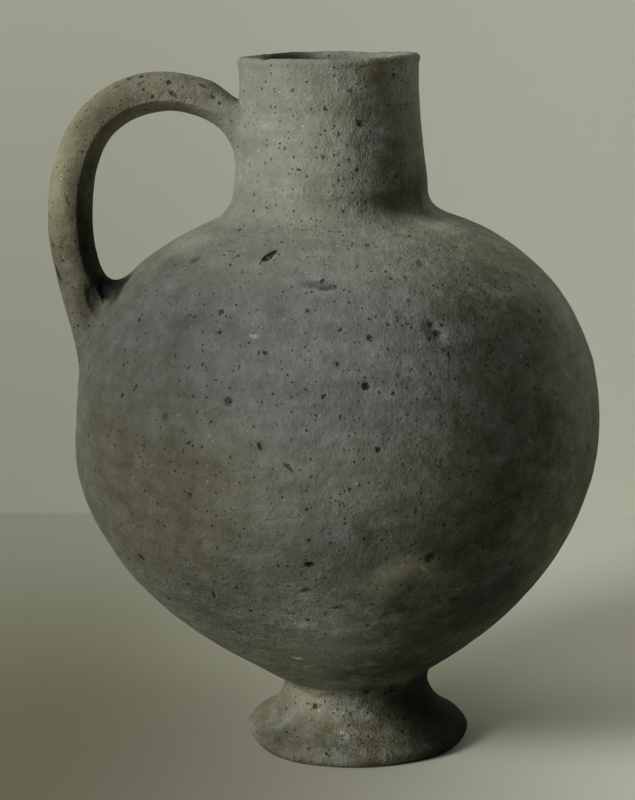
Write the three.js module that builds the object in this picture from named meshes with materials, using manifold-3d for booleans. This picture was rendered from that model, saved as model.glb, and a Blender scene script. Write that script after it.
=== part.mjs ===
// A round unglazed earthenware jug with a straight neck, a flared foot and one loop handle.
// It is built the way a potter joins it: two thrown halves, a thrown neck and foot, a pulled
// handle, and the soft coils worked round the joints. Millimetres, +Z up, handle towards -X.
// Every piece is turned upright first, and settle() then gives the whole jug its lean.

import * as THREE from "three";
import { mergeVertices } from "three/addons/utils/BufferGeometryUtils.js";
import Module from "manifold-3d";

const wasm = await Module();
wasm.setup();

// Driving dimensions of the foot
const FOOT_HEIGHT = 24; // floor to the joint with the bowl
const FOOT_RADIUS = 42; // widest, at the rounded edge
const FOOT_EDGE = 5.2; // height of the rounded edge
const FOOT_STEM_RADIUS = 27; // narrowest, at the joint
const FOOT_FLARE = 30; // degrees that the top of the flare rises
const FOOT_FULLNESS_LOW = 0.43; // how long the flare holds that rise, as a share of its run
const FOOT_FULLNESS_HIGH = 0.56; // how far below the joint the stem is still upright
const FOOT_STEM_DRAFT = 0.3; // how much wider the stem is there
const FOOT_EDGE_ROUND = 1.3; // how far the edge's top is drawn in
const FOOT_REST_OUTER = 39.5; // the flat band it stands on
const FOOT_REST_INNER = 32;
const FOOT_HOLLOW_TOP = 16; // radius of the hollow under the bowl
const FOOT_HOLLOW_BEND = 3.6; // height at which the hollow's side turns outwards

// Driving dimensions of the body
const BOWL_HEIGHT = 97; // foot joint to the widest ring
const BOWL_RISE = 35.8; // degrees of the bowl's wall where it leaves the foot
const BELLY_RADIUS = 98;
const SHOULDER_HEIGHT = 79.3; // widest ring to the corner under the neck
const SHOULDER_FALL = 16.5; // degrees that the shoulder falls away from that corner
const BOWL_FULLNESS_LOW = 0.178; // how long the wall holds its rise, as a share of its height
const BOWL_FULLNESS_HIGH = 0.58; // how far below the widest ring the wall is still upright
const SHOULDER_FULLNESS_LOW = 0.575; // the same two for the shoulder
const SHOULDER_FULLNESS_HIGH = 0.425;
const BASE_WALL = 9;
const BELLY_WALL = 6;
const THROAT_WALL = 5.5;

// Driving dimensions of the neck
const NECK_HEIGHT = 57.4; // shoulder corner to the rim
const NECK_FOOT_RADIUS = 37.5;
const NECK_TOP_RADIUS = 32.8;
const NECK_FOOT_SLANT = 99.7; // degrees, 90 is upright
const NECK_FULLNESS_LOW = 0.138; // how long the neck holds that slant, as a share of its height
const NECK_FULLNESS_HIGH = 0.55; // how far below the rim it is still upright
const RIM_WALL = 5;
const LIP_BEAD = 0.5; // how far the lip stands out
const LIP_HEIGHT = 4.6;
const LIP_LEAD = 4; // upright stretch under the lip
const RIM_ROUND_OUTER = 0.8; // the rim's rounded edges
const RIM_ROUND_INNER = 1.6;

// Driving dimensions of the handle, a pulled strap, full outside and wedge-like inside
const STRAP_WIDTH = 21; // across the loop's plane
const STRAP_THICKNESS_TOP = 13.4;
const STRAP_THICKNESS_LOW = 16.8;
const STRAP_SQUARENESS = 2.4; // of the outer half; 2 is an ellipse, more is squarer
const INNER_SQUARENESS = 1.35; // of the half that faces the neck
const ARRIS = -0.4; // where the strap is widest, from -1 inside to 1 outside
const TOP_ROOT_DROP = 21; // rim to the strap's middle on the neck
const LOOP_START_RISE = 30; // degrees that the strap climbs as it leaves the neck
const LOOP_RISE = 9.1; // from there up to the top of the loop
const LOOP_PEAK_REACH = 27.5; // neck wall to the top of the loop
const LOOP_REACH = 63.4; // neck wall to the outermost run
const LOOP_DROP = 46.6; // top of the loop down to the outermost run
const LOOP_FULLNESS = 0.62; // 0.55 is a quarter ellipse
const LOWER_RUN = 15.5; // on down to where the strap spreads into its root
const LOWER_RUN_IN = 5.5; // degrees that it turns in on the way
const CLIMB_FULLNESS = 0.33; // how long the strap holds its first climb, as a share of its reach
const CROWN_FULLNESS = 0.42; // how long it runs level before the top of the loop

// Each root spreads from the strap to a footprint on the wall. Reaches are measured along the
// wall from the footprint's middle: on the loop's outer side, on its inner side and across.
const TOP_ROOT = { start: 15, middleDrop: 1.5, outer: 8, inner: 21, side: 15.5, deepen: 0.12 };
const LOW_ROOT = { fromCorner: 60.5, outer: 30, inner: 19, side: 14, deepen: 0.38 };
const ROOT_LEAVE = 0.36; // how long a root's lines hold the strap's heading
const ROOT_LAND = 0.24; // how long they run along the wall
const ROOT_SINK = 4; // how far a root's end is carried into the wall before it is cut

// Joints and luting coils
const LUTE_GAP = 0.3; // the thin bed between two pieces
const SCARF = 3.5; // how far a joint falls from its outside to its inside
const NECK_COIL_LEG = 8;
const FOOT_COIL_LEG = 3.2;
const COIL_HOLLOW = 0.72; // 0 is a straight chamfer, 1 reaches the corner
const ENVELOPE_DEPTH = 40; // how far below the widest ring a handle's root could reach

// The lean: the foot stands level, the bowl leans towards the handle, the upper half less
const BOWL_LEAN = 0.0992; // sideways per unit of height
const UPPER_LEAN = 0.0235;
const LEAN_EASE_FOOT = 4; // half the height over which a lean comes in
const LEAN_EASE_BELLY = 20;
const LEAN_CHANGE_DROP = 17; // where the second lean starts, below the widest ring
const SECTION_TILT = 0.66; // share of the lean that the turned rings tilt
const UPPER_TILT = 0.01; // what the upper half's rings tip besides

// Fineness
const TURN_STEPS = 48;
const STRAP_STEPS = 20;
const LOOP_STEPS = 20;
const ROOT_STEPS = 7;

const RAD = Math.PI / 180;
const BELLY_Z = FOOT_HEIGHT + BOWL_HEIGHT;
const CORNER_Z = BELLY_Z + SHOULDER_HEIGHT;
const RIM_Z = CORNER_Z + NECK_HEIGHT;

const v2 = (r, z) => new THREE.Vector2(r, z);
const polar = (degrees, length) =>
  v2(Math.cos(degrees * RAD), Math.sin(degrees * RAD)).multiplyScalar(length);

// Outlines of the upright jug, as curves of radius and height

// The bowl's rounded bottom, a parabola that leaves the foot joint at BOWL_RISE.
const bottomDrop = (FOOT_STEM_RADIUS / 2) * Math.tan(BOWL_RISE * RAD);
const bottomCurve = new THREE.QuadraticBezierCurve(
  v2(0, FOOT_HEIGHT - bottomDrop),
  v2(FOOT_STEM_RADIUS / 2, FOOT_HEIGHT - bottomDrop),
  v2(FOOT_STEM_RADIUS, FOOT_HEIGHT),
);

// The bowl's wall, from the foot joint to the widest ring.
const bowlCurve = new THREE.CubicBezierCurve(
  v2(FOOT_STEM_RADIUS, FOOT_HEIGHT),
  v2(FOOT_STEM_RADIUS, FOOT_HEIGHT).add(polar(BOWL_RISE, BOWL_FULLNESS_LOW * BOWL_HEIGHT)),
  v2(BELLY_RADIUS, BELLY_Z - BOWL_FULLNESS_HIGH * BOWL_HEIGHT),
  v2(BELLY_RADIUS, BELLY_Z),
);

// The shoulder, from the widest ring to the corner under the neck.
const neckCorner = v2(NECK_FOOT_RADIUS, CORNER_Z);
const shoulderCurve = new THREE.CubicBezierCurve(
  v2(BELLY_RADIUS, BELLY_Z),
  v2(BELLY_RADIUS, BELLY_Z + SHOULDER_FULLNESS_LOW * SHOULDER_HEIGHT),
  neckCorner.clone().add(polar(-SHOULDER_FALL, SHOULDER_FULLNESS_HIGH * SHOULDER_HEIGHT)),
  neckCorner,
);

// The neck, from that corner to just under the lip, upright at its top.
const neckCurve = new THREE.CubicBezierCurve(
  neckCorner,
  neckCorner.clone().add(polar(NECK_FOOT_SLANT, NECK_FULLNESS_LOW * NECK_HEIGHT)),
  v2(NECK_TOP_RADIUS, RIM_Z - NECK_FULLNESS_HIGH * NECK_HEIGHT),
  v2(NECK_TOP_RADIUS, RIM_Z - LIP_HEIGHT - LIP_LEAD),
);

// The top of the foot, from its rounded edge up to the joint.
const edgeTop = v2(FOOT_RADIUS - FOOT_EDGE_ROUND, FOOT_EDGE);
const flareRun = FOOT_HEIGHT - FOOT_EDGE;
const footCurve = new THREE.CubicBezierCurve(
  edgeTop,
  edgeTop.clone().add(polar(180 - FOOT_FLARE, FOOT_FULLNESS_LOW * flareRun)),
  v2(FOOT_STEM_RADIUS + FOOT_STEM_DRAFT, FOOT_HEIGHT - FOOT_FULLNESS_HIGH * flareRun),
  v2(FOOT_STEM_RADIUS, FOOT_HEIGHT),
);

// The point at t on a curve, moved sideways: to the left of its run when the distance is positive.
function beside(curve, t, distance) {
  const along = curve.getTangent(t);
  return curve.getPoint(t).add(v2(-along.y, along.x).multiplyScalar(distance));
}

// Points along a curve, from t0 to t1, each moved sideways by a distance that changes evenly.
function run(curve, count, t0 = 0, t1 = 1, d0 = 0, d1 = d0) {
  return Array.from({ length: count + 1 }, (_, i) => {
    const s = i / count;
    return beside(curve, t0 + (t1 - t0) * s, d0 + (d1 - d0) * s);
  });
}

// The share of a rising curve, moved sideways by a distance, that lies below a height.
function shareBelow(curve, height, distance = 0) {
  let low = 0;
  let high = 1;
  for (let i = 0; i < 40; i++) {
    const middle = (low + high) / 2;
    if (beside(curve, middle, distance).y < height) low = middle;
    else high = middle;
  }
  return low;
}

// The place on a curve, as its parameter, at a length from its start or before its end.
const afterStart = (curve, length) => curve.getUtoTmapping(length / curve.getLength());
const beforeEnd = (curve, length) => curve.getUtoTmapping(1 - length / curve.getLength());

// The share of a rising curve's length that lies below a height.
function shareOfLength(curve, height) {
  let low = 0;
  let high = 1;
  for (let i = 0; i < 40; i++) {
    const middle = (low + high) / 2;
    if (curve.getPointAt(middle).y < height) low = middle;
    else high = middle;
  }
  return low;
}

// Turned pieces

// Turns an outline round the jug's axis. The outline runs anticlockwise, with radius to the
// right and height up, and closes on itself or starts and ends on the axis.
function turned(outline) {
  const points = outline.map((p) => v2(Math.max(0, p.x), p.y));
  const open = points[0].x < 1e-6 && points[points.length - 1].x < 1e-6;
  if (!open) points.push(points[0].clone());
  return new THREE.LatheGeometry(points, TURN_STEPS).rotateX(Math.PI / 2);
}

function footOutline() {
  const edge = new THREE.QuadraticBezierCurve(
    v2(FOOT_REST_OUTER, 0),
    v2(FOOT_RADIUS + FOOT_EDGE_ROUND, FOOT_EDGE / 2),
    edgeTop,
  );
  const seat = run(bottomCurve, 4, 1, FOOT_HOLLOW_TOP / FOOT_STEM_RADIUS, -LUTE_GAP);
  const hollow = new THREE.QuadraticBezierCurve(
    seat[seat.length - 1],
    v2(FOOT_HOLLOW_TOP, FOOT_HOLLOW_BEND),
    v2(FOOT_REST_INNER, 0),
  );
  return [
    ...edge.getPoints(5),
    ...run(footCurve, 9, 0.1, 0.98),
    ...seat,
    ...hollow.getPoints(4).slice(1),
  ];
}

function lowerBodyOutline() {
  const lip = shareBelow(bowlCurve, BELLY_Z - SCARF, BELLY_WALL);
  const inside = run(bowlCurve, 8, lip, 0.02, BELLY_WALL, BASE_WALL);
  return [
    ...run(bottomCurve, 4, 0, 0.9),
    ...run(bowlCurve, 10),
    ...inside,
    ...run(bottomCurve, 2, 0.7, 0, BASE_WALL),
  ];
}

function shoulderOutline() {
  const rim = v2(NECK_FOOT_RADIUS - THROAT_WALL, CORNER_Z - SCARF);
  return [
    v2(BELLY_RADIUS - BELLY_WALL, BELLY_Z - SCARF + LUTE_GAP),
    v2(BELLY_RADIUS, BELLY_Z + LUTE_GAP),
    ...run(shoulderCurve, 10, 0.03, 1),
    rim,
    ...run(shoulderCurve, 9, 1, 0.03, THROAT_WALL, BELLY_WALL),
  ];
}

function neckOutline() {
  const lipFoot = RIM_Z - LIP_HEIGHT;
  const bead = [0, 0.25, 0.5, 0.75].map((s) =>
    v2(
      NECK_TOP_RADIUS + LIP_BEAD * Math.sin(s * Math.PI),
      lipFoot + LIP_HEIGHT * 0.9 * s,
    ),
  );
  const inside = NECK_TOP_RADIUS - RIM_WALL;
  return [
    v2(NECK_FOOT_RADIUS - THROAT_WALL, CORNER_Z - SCARF + LUTE_GAP),
    v2(NECK_FOOT_RADIUS, CORNER_Z + LUTE_GAP),
    ...run(neckCurve, 8, 0.05, 1),
    ...bead,
    v2(NECK_TOP_RADIUS - RIM_ROUND_OUTER, RIM_Z),
    v2(inside + RIM_ROUND_INNER, RIM_Z),
    v2(inside + 0.2 * RIM_ROUND_INNER, RIM_Z - 0.8 * RIM_ROUND_INNER),
    ...run(neckCurve, 6, 1, 0.12, RIM_WALL, THROAT_WALL),
  ];
}

// A coil pressed into the corner between two walls. Its back follows both, a lute's gap away,
// and its face is a hollow curve from one to the other.
function coilOutline(lowSide, corner, highSide) {
  const middle = lowSide.clone().add(highSide).multiplyScalar(0.5);
  const pull = middle.lerp(corner, COIL_HOLLOW);
  const face = new THREE.QuadraticBezierCurve(lowSide, pull, highSide);
  return [...face.getPoints(6), corner];
}

function neckCoilOutline() {
  const out = beforeEnd(shoulderCurve, NECK_COIL_LEG);
  const up = afterStart(neckCurve, NECK_COIL_LEG);
  return coilOutline(
    beside(shoulderCurve, out, -LUTE_GAP),
    v2(NECK_FOOT_RADIUS, CORNER_Z).add(polar(45, 1.6 * LUTE_GAP)),
    beside(neckCurve, up, -LUTE_GAP),
  );
}

function footCoilOutline() {
  const down = beforeEnd(footCurve, FOOT_COIL_LEG);
  const up = afterStart(bowlCurve, FOOT_COIL_LEG);
  return coilOutline(
    beside(footCurve, down, -LUTE_GAP),
    v2(FOOT_STEM_RADIUS + 1.5 * LUTE_GAP, FOOT_HEIGHT - 0.2 * LUTE_GAP),
    beside(bowlCurve, up, -LUTE_GAP),
  );
}

// The handle

// The strap's middle line, in the plane y = 0: out of the neck, over the top of the loop, down
// its outer run and in towards the shoulder, as curves of reach from the axis and height.
const topRootZ = RIM_Z - TOP_ROOT_DROP;
const topRootRadius = neckCurve.getPoint(shareBelow(neckCurve, topRootZ)).x;

function loopPath() {
  const root = v2(topRootRadius, topRootZ);
  const peak = v2(topRootRadius + LOOP_PEAK_REACH, topRootZ + LOOP_RISE);
  const outermost = v2(topRootRadius + LOOP_REACH, peak.y - LOOP_DROP);
  const reach = outermost.x - peak.x;
  const down = polar(270 - LOWER_RUN_IN, LOWER_RUN);
  const path = new THREE.CurvePath();
  path.add(
    new THREE.CubicBezierCurve(
      root,
      root.clone().add(polar(LOOP_START_RISE, CLIMB_FULLNESS * LOOP_PEAK_REACH)),
      v2(peak.x - CROWN_FULLNESS * LOOP_PEAK_REACH, peak.y),
      peak,
    ),
  );
  path.add(
    new THREE.CubicBezierCurve(
      peak,
      v2(peak.x + LOOP_FULLNESS * reach, peak.y),
      v2(outermost.x, outermost.y + LOOP_FULLNESS * LOOP_DROP),
      outermost,
    ),
  );
  path.add(
    new THREE.QuadraticBezierCurve(
      outermost,
      v2(outermost.x, outermost.y - LOWER_RUN / 2),
      outermost.clone().add(down),
    ),
  );
  return path;
}

const toSpace = (p, across = 0) => new THREE.Vector3(-p.x, across, p.y);
const ringAngles = Array.from(
  { length: STRAP_STEPS },
  (_, k) => (2 * Math.PI * k) / STRAP_STEPS,
);

// A ring of the strap's section square to the middle line, as points, with the line's own
// direction. Each half is half a superellipse, and they meet in an arris on either side.
function strapRing(path, share) {
  const at = path.getPointAt(share);
  const along = path.getTangentAt(share);
  const away = v2(-along.y, along.x);
  const half = THREE.MathUtils.lerp(STRAP_THICKNESS_TOP, STRAP_THICKNESS_LOW, share) / 2;
  const points = ringAngles.map((a) => {
    const outer = Math.cos(a) > 0;
    const squareness = outer ? STRAP_SQUARENESS : INNER_SQUARENESS;
    const bulge = (value) => Math.sign(value) * Math.abs(value) ** (2 / squareness);
    const out = ARRIS + (outer ? 1 - ARRIS : 1 + ARRIS) * bulge(Math.cos(a));
    return toSpace(
      at.clone().addScaledVector(away, half * out),
      (STRAP_WIDTH / 2) * bulge(Math.sin(a)),
    );
  });
  return { points, along: toSpace(along) };
}

// A point of a turned wall, a way along its curve and a way round it, with the wall's own
// directions there.
function wallPlace(curve, way, across) {
  const share = way / curve.getLength();
  const p = curve.getPointAt(share);
  const along = curve.getTangentAt(share);
  const turn = across / p.x;
  const turnBy = (v) => v.applyAxisAngle(new THREE.Vector3(0, 0, 1), -turn);
  return {
    at: turnBy(toSpace(p)),
    along: turnBy(toSpace(along)),
    round: turnBy(new THREE.Vector3(0, 1, 0)),
    out: turnBy(toSpace(v2(along.y, -along.x))),
  };
}

// The rings of a root, from the strap's last ring to the footprint on the wall and on into it.
// Every line of it leaves along the strap and lands along the wall, so it makes a fillet.
function rootRings(ring, heading, wall, middle, root, sense) {
  const lines = ringAngles.map((a, k) => {
    const c = Math.cos(a);
    const way = sense * c * (c > 0 ? root.outer : root.inner);
    const across = Math.sin(a) * root.side;
    const place = wallPlace(wall, middle + way, across);
    const landing = place.along
      .clone()
      .multiplyScalar(way)
      .addScaledVector(place.round, across)
      .normalize();
    const start = ring.points[k];
    const gap = start.distanceTo(place.at);
    const inward = ((1 - c) / 2) ** 3;
    const curve = new THREE.CubicBezierCurve3(
      start,
      start.clone().addScaledVector(heading, gap * (ROOT_LEAVE + root.deepen * inward)),
      place.at.clone().addScaledVector(landing, -gap * (ROOT_LAND + root.deepen * inward)),
      place.at,
    );
    return { curve, sunk: place.at.clone().addScaledVector(place.out, -ROOT_SINK) };
  });
  const rings = [];
  for (let i = 1; i <= ROOT_STEPS; i++) {
    rings.push(lines.map((line) => line.curve.getPoint(i / ROOT_STEPS)));
  }
  rings.push(lines.map((line) => line.sunk));
  return rings;
}

// A closed skin over rings of points, with a flat cap at each end.
function skin(rings) {
  const positions = rings.flat().flatMap((p) => p.toArray());
  const count = STRAP_STEPS;
  const index = [];
  for (let i = 0; i + 1 < rings.length; i++) {
    for (let k = 0; k < count; k++) {
      const a = i * count + k;
      const b = i * count + ((k + 1) % count);
      index.push(a, b, a + count, b, b + count, a + count);
    }
  }
  const last = (rings.length - 1) * count;
  for (let k = 1; k + 1 < count; k++) {
    index.push(0, k + 1, k);
    index.push(last, last + k, last + k + 1);
  }
  return new THREE.BufferGeometry()
    .setAttribute("position", new THREE.Float32BufferAttribute(positions, 3))
    .setIndex(index);
}

function strapGeometry() {
  const path = loopPath();
  const first = TOP_ROOT.start / path.getLength();
  const free = Array.from({ length: LOOP_STEPS + 1 }, (_, i) =>
    strapRing(path, first + (1 - first) * (i / LOOP_STEPS)),
  );
  const topRing = free[0];
  const lowRing = free[LOOP_STEPS];
  const neckMiddle =
    neckCurve.getLength() * shareOfLength(neckCurve, topRootZ) - TOP_ROOT.middleDrop;
  const heading = topRing.along.clone().negate();
  const top = rootRings(topRing, heading, neckCurve, neckMiddle, TOP_ROOT, 1);
  const lowMiddle = shoulderCurve.getLength() - LOW_ROOT.fromCorner;
  const low = rootRings(lowRing, lowRing.along, shoulderCurve, lowMiddle, LOW_ROOT, -1);
  return skin([...top.reverse(), ...free.map((ring) => ring.points), ...low]);
}

// Solids for cutting

// A geometry as a closed solid, with the points that its faces share merged.
function toSolid(geometry) {
  const bare = new THREE.BufferGeometry()
    .setAttribute("position", geometry.getAttribute("position"))
    .setIndex(geometry.getIndex());
  const merged = mergeVertices(bare, 1e-4);
  return new wasm.Manifold(
    new wasm.Mesh({
      numProp: 3,
      vertProperties: merged.getAttribute("position").array,
      triVerts: new Uint32Array(merged.getIndex().array),
    }),
  );
}

function toGeometry(solid) {
  const { vertProperties, triVerts } = solid.getMesh();
  return new THREE.BufferGeometry()
    .setAttribute("position", new THREE.BufferAttribute(vertProperties, 3))
    .setIndex(new THREE.BufferAttribute(triVerts, 1));
}

// The whole outside of the jug without its handle, filled and grown by a lute's gap.
function envelopeOutline() {
  return [
    v2(0, BELLY_Z - ENVELOPE_DEPTH),
    ...run(bowlCurve, 4, 0.7, 0.98, -LUTE_GAP),
    ...run(shoulderCurve, 10, 0.03, 0.96, -LUTE_GAP),
    ...run(neckCurve, 8, 0.05, 1, -LUTE_GAP),
    v2(NECK_TOP_RADIUS + LUTE_GAP, RIM_Z),
    v2(0, RIM_Z),
  ];
}

function handleGeometry() {
  const cut = toSolid(strapGeometry()).subtract(toSolid(turned(envelopeOutline())));
  return toGeometry(cut);
}

// The lean

// An even climb that comes in smoothly round a height, as its value and its slope.
function climb(z, from, half) {
  const t = Math.min(1, Math.max(0, (z - from + half) / (2 * half)));
  const past = Math.max(0, z - from - half);
  return {
    value: 2 * half * (t ** 3 - t ** 4 / 2) + past,
    slope: 3 * t ** 2 - 2 * t ** 3,
  };
}

// Moves a geometry's points from the upright jug to the leaning one.
function settle(geometry) {
  const place = geometry.getAttribute("position");
  const change = BELLY_Z - LEAN_CHANGE_DROP;
  for (let i = 0; i < place.count; i++) {
    const x = place.getX(i);
    const z = place.getZ(i);
    const bowl = climb(z, FOOT_HEIGHT, LEAN_EASE_FOOT);
    const upper = climb(z, change, LEAN_EASE_BELLY);
    const back = BOWL_LEAN - UPPER_LEAN;
    const shift = back * upper.value - BOWL_LEAN * bowl.value;
    const slope = back * upper.slope - BOWL_LEAN * bowl.slope;
    const tilt = Math.atan(slope) * SECTION_TILT - UPPER_TILT * upper.slope;
    place.setX(i, shift + x * Math.cos(tilt));
    place.setZ(i, z - x * Math.sin(tilt));
  }
  geometry.deleteAttribute("normal");
  geometry.deleteAttribute("uv");
  const smooth = mergeVertices(geometry, 1e-4);
  smooth.computeVertexNormals();
  return smooth;
}

// Materials: one clay, paler at the neck and darker at the bowl
const clay = (color, roughness) =>
  new THREE.MeshStandardMaterial({ color, roughness, metalness: 0 });
const neckClay = clay(0x9c9c8e, 0.92);
const bodyClay = clay(0x7d7f79, 0.9);
const bowlClay = clay(0x6f7068, 0.9);
const footClay = clay(0x7a796c, 0.93);
const handleClay = clay(0x8f8a7c, 0.9);

// The jug
const jug = new THREE.Group();
jug.name = "jug";

function addPiece(name, geometry, material) {
  const mesh = new THREE.Mesh(settle(geometry), material);
  mesh.name = name;
  jug.add(mesh);
}

addPiece("foot", turned(footOutline()), footClay);
addPiece("foot_luting_coil", turned(footCoilOutline()), footClay);
addPiece("lower_body", turned(lowerBodyOutline()), bowlClay);
addPiece("shoulder", turned(shoulderOutline()), bodyClay);
addPiece("neck_luting_coil", turned(neckCoilOutline()), bodyClay);
addPiece("neck", turned(neckOutline()), neckClay);
addPiece("handle", handleGeometry(), handleClay);

// The origin is on the floor, under the middle of the whole outline.
const reach = new THREE.Box3().setFromObject(jug);
jug.position.x = -(reach.min.x + reach.max.x) / 2;

export default jug;
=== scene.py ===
# %% [markdown]
# # A leaning earthenware jug
# The jug is unglazed clay, thrown in parts on a wheel, joined with soft clay and fired. The
# frame holds every piece at its real size. Here each piece gets its visible surface: the same
# outline, worked out more finely, with the unevenness of the hand and the marks of use.

# %% Load the frame
import math
from collections import namedtuple

import bpy
import numpy as np
from mathutils import Matrix, Vector


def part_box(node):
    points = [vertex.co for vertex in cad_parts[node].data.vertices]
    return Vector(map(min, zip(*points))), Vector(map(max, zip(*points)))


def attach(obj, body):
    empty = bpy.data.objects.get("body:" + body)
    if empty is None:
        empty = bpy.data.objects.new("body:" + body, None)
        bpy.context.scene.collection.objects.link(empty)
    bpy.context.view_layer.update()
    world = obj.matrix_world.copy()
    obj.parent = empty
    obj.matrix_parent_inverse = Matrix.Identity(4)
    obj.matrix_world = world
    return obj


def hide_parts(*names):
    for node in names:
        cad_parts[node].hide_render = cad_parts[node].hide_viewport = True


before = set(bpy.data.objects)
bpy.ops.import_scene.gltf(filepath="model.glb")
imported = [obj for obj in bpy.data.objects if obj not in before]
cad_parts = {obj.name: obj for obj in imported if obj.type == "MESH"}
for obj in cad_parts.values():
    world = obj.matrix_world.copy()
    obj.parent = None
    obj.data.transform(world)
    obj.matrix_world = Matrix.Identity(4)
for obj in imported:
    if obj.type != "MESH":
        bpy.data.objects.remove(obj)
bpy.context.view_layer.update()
print("pieces in the frame:", sorted(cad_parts))

# %% [markdown]
# ## Sizes
# All the shapes below are worked out in millimetres, and only the last step of each one turns
# them into Blender's metres. The jug is first described upright, as it came off the wheel. These
# are the sizes that the frame was built with. The place of the wheel's axis is read from the
# foot's box, because the foot is the one piece that stands level.

# %% Driving sizes
MM = 0.001
foot_low, foot_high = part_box("foot")
AXIS_X = (foot_low[0] + foot_high[0]) / 2 / MM

FOOT_HEIGHT = 24.0
FOOT_RADIUS = 42.0
FOOT_EDGE = 5.2
FOOT_EDGE_ROUND = 1.3
FOOT_STEM_RADIUS = 27.0
FOOT_REST_OUTER = 39.5
FOOT_REST_INNER = 32.0
FOOT_HOLLOW_TOP = 16.0
FOOT_HOLLOW_BEND = 3.6
BOWL_HEIGHT = 97.0
BOWL_RISE = 35.8
BELLY_RADIUS = 98.0
SHOULDER_HEIGHT = 79.3
SHOULDER_FALL = 16.5
BASE_WALL = 9.0
BELLY_WALL = 6.0
THROAT_WALL = 5.5
NECK_HEIGHT = 57.4
NECK_FOOT_RADIUS = 37.5
NECK_TOP_RADIUS = 32.8
RIM_WALL = 5.0
LIP_BEAD = 0.5
LIP_HEIGHT = 4.6
SCARF = 3.5  # how far each joint between two pieces falls towards the inside

BELLY_Z = FOOT_HEIGHT + BOWL_HEIGHT
CORNER_Z = BELLY_Z + SHOULDER_HEIGHT
RIM_Z = CORNER_Z + NECK_HEIGHT
print(f"axis at x = {AXIS_X:.2f} mm, widest at {BELLY_Z:.1f}, rim at {RIM_Z:.1f}")

# %% [markdown]
# ## The camera
# The photograph was taken from a little above the jug's shoulder, from about 0.8 m. The camera
# comes first because the marks on the clay are later found by looking through it.

# %% The camera
PHOTO_SIZE = (635, 800)
FOCAL_PIXELS = 2188.7
CAMERA_PLACE = Vector((-2.9, -806.3, 285.4)) * MM
CAMERA_DIP = 0.1911  # radians below level

camera = bpy.data.objects.new("Camera", bpy.data.cameras.new("Camera"))
camera.location = CAMERA_PLACE
camera.rotation_euler = (math.pi / 2 - CAMERA_DIP, 0, 0)
camera.data.sensor_width = 36.0
camera.data.lens = camera.data.sensor_width * FOCAL_PIXELS / PHOTO_SIZE[1]
bpy.context.scene.collection.objects.link(camera)
bpy.context.scene.camera = camera


def sight_line(pixel):
    """The direction in which a pixel of the photograph looks, in three steps.

    It is (x - middle, middle - y, -focal length), turned as the camera is.
    """
    across = pixel[0] - PHOTO_SIZE[0] / 2
    up = PHOTO_SIZE[1] / 2 - pixel[1]
    turned = camera.rotation_euler.to_matrix() @ Vector((across, up, -FOCAL_PIXELS))
    return turned.normalized()


bpy.context.view_layer.update()
frame_graph = bpy.context.view_layer.depsgraph


def look_at_clay(pixel):
    """Where a pixel's sight line meets the frame, in millimetres, the normal and the node there."""
    hit, place, normal, _, met, _ = bpy.context.scene.ray_cast(
        frame_graph, CAMERA_PLACE, sight_line(pixel)
    )
    if not hit:
        raise ValueError(f"nothing of the jug lies behind pixel {pixel}")
    return np.array(place) / MM, np.array(normal), met.name


print("lens", round(camera.data.lens, 1), "mm")

# %% [markdown]
# ## Outlines
# A pot's outline is smooth, so a few curves with long tangents hold it: a rounded bottom, the
# bowl, the shoulder, the neck and the flare of the foot. Every point is (radius, height).

# %% Curves of radius and height
SHARES = np.linspace(0, 1, 401)


def bezier(*controls):
    """A Bezier curve: neighbours a and b become (1 - t) a + t b until one is left."""
    t = SHARES[:, None]
    level = [np.asarray(c, float) for c in controls]
    while len(level) > 1:
        level = [(1 - t) * a + t * b for a, b in zip(level, level[1:])]
    return level[0]


def polar(degrees, length):
    """The step of a length in a direction: (cos a, sin a) times the length."""
    angle = math.radians(degrees)
    return np.array([math.cos(angle), math.sin(angle)]) * length


foot_joint = np.array([FOOT_STEM_RADIUS, FOOT_HEIGHT])
widest = np.array([BELLY_RADIUS, BELLY_Z])
corner = np.array([NECK_FOOT_RADIUS, CORNER_Z])
lip_foot = np.array([NECK_TOP_RADIUS, RIM_Z - LIP_HEIGHT])
edge_top = np.array([FOOT_RADIUS - FOOT_EDGE_ROUND, FOOT_EDGE])
flare_run = FOOT_HEIGHT - FOOT_EDGE
bottom_drop = FOOT_STEM_RADIUS / 2 * math.tan(math.radians(BOWL_RISE))

bottom_curve = bezier(
    (0, FOOT_HEIGHT - bottom_drop),
    (FOOT_STEM_RADIUS / 2, FOOT_HEIGHT - bottom_drop),
    foot_joint,
)
bowl_curve = bezier(
    foot_joint,
    foot_joint + polar(BOWL_RISE, 0.178 * BOWL_HEIGHT),
    widest - (0, 0.58 * BOWL_HEIGHT),
    widest,
)
shoulder_curve = bezier(
    widest,
    widest + (0, 0.575 * SHOULDER_HEIGHT),
    corner + polar(-SHOULDER_FALL, 0.425 * SHOULDER_HEIGHT),
    corner,
)
neck_curve = bezier(
    corner,
    corner + polar(99.7, 0.138 * NECK_HEIGHT),
    (NECK_TOP_RADIUS, RIM_Z - 0.55 * NECK_HEIGHT),
    lip_foot - (0, 4),
)
foot_curve = bezier(
    edge_top,
    edge_top + polar(150, 0.43 * flare_run),
    (FOOT_STEM_RADIUS + 0.3, FOOT_HEIGHT - 0.56 * flare_run),
    foot_joint,
)


# %% Tools for outlines
def lengths_along(line):
    """The length of a line from its start to each of its points."""
    steps = np.linalg.norm(np.diff(line, axis=0), axis=1)
    return np.concatenate([[0], np.cumsum(steps)])


def evenly(line, spacing):
    """The same line with its points at even steps of its length, about a spacing apart."""
    along = lengths_along(line)
    places = np.linspace(0, along[-1], max(1, round(along[-1] / spacing)) + 1)
    return np.column_stack([np.interp(places, along, axis) for axis in line.T])


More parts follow.
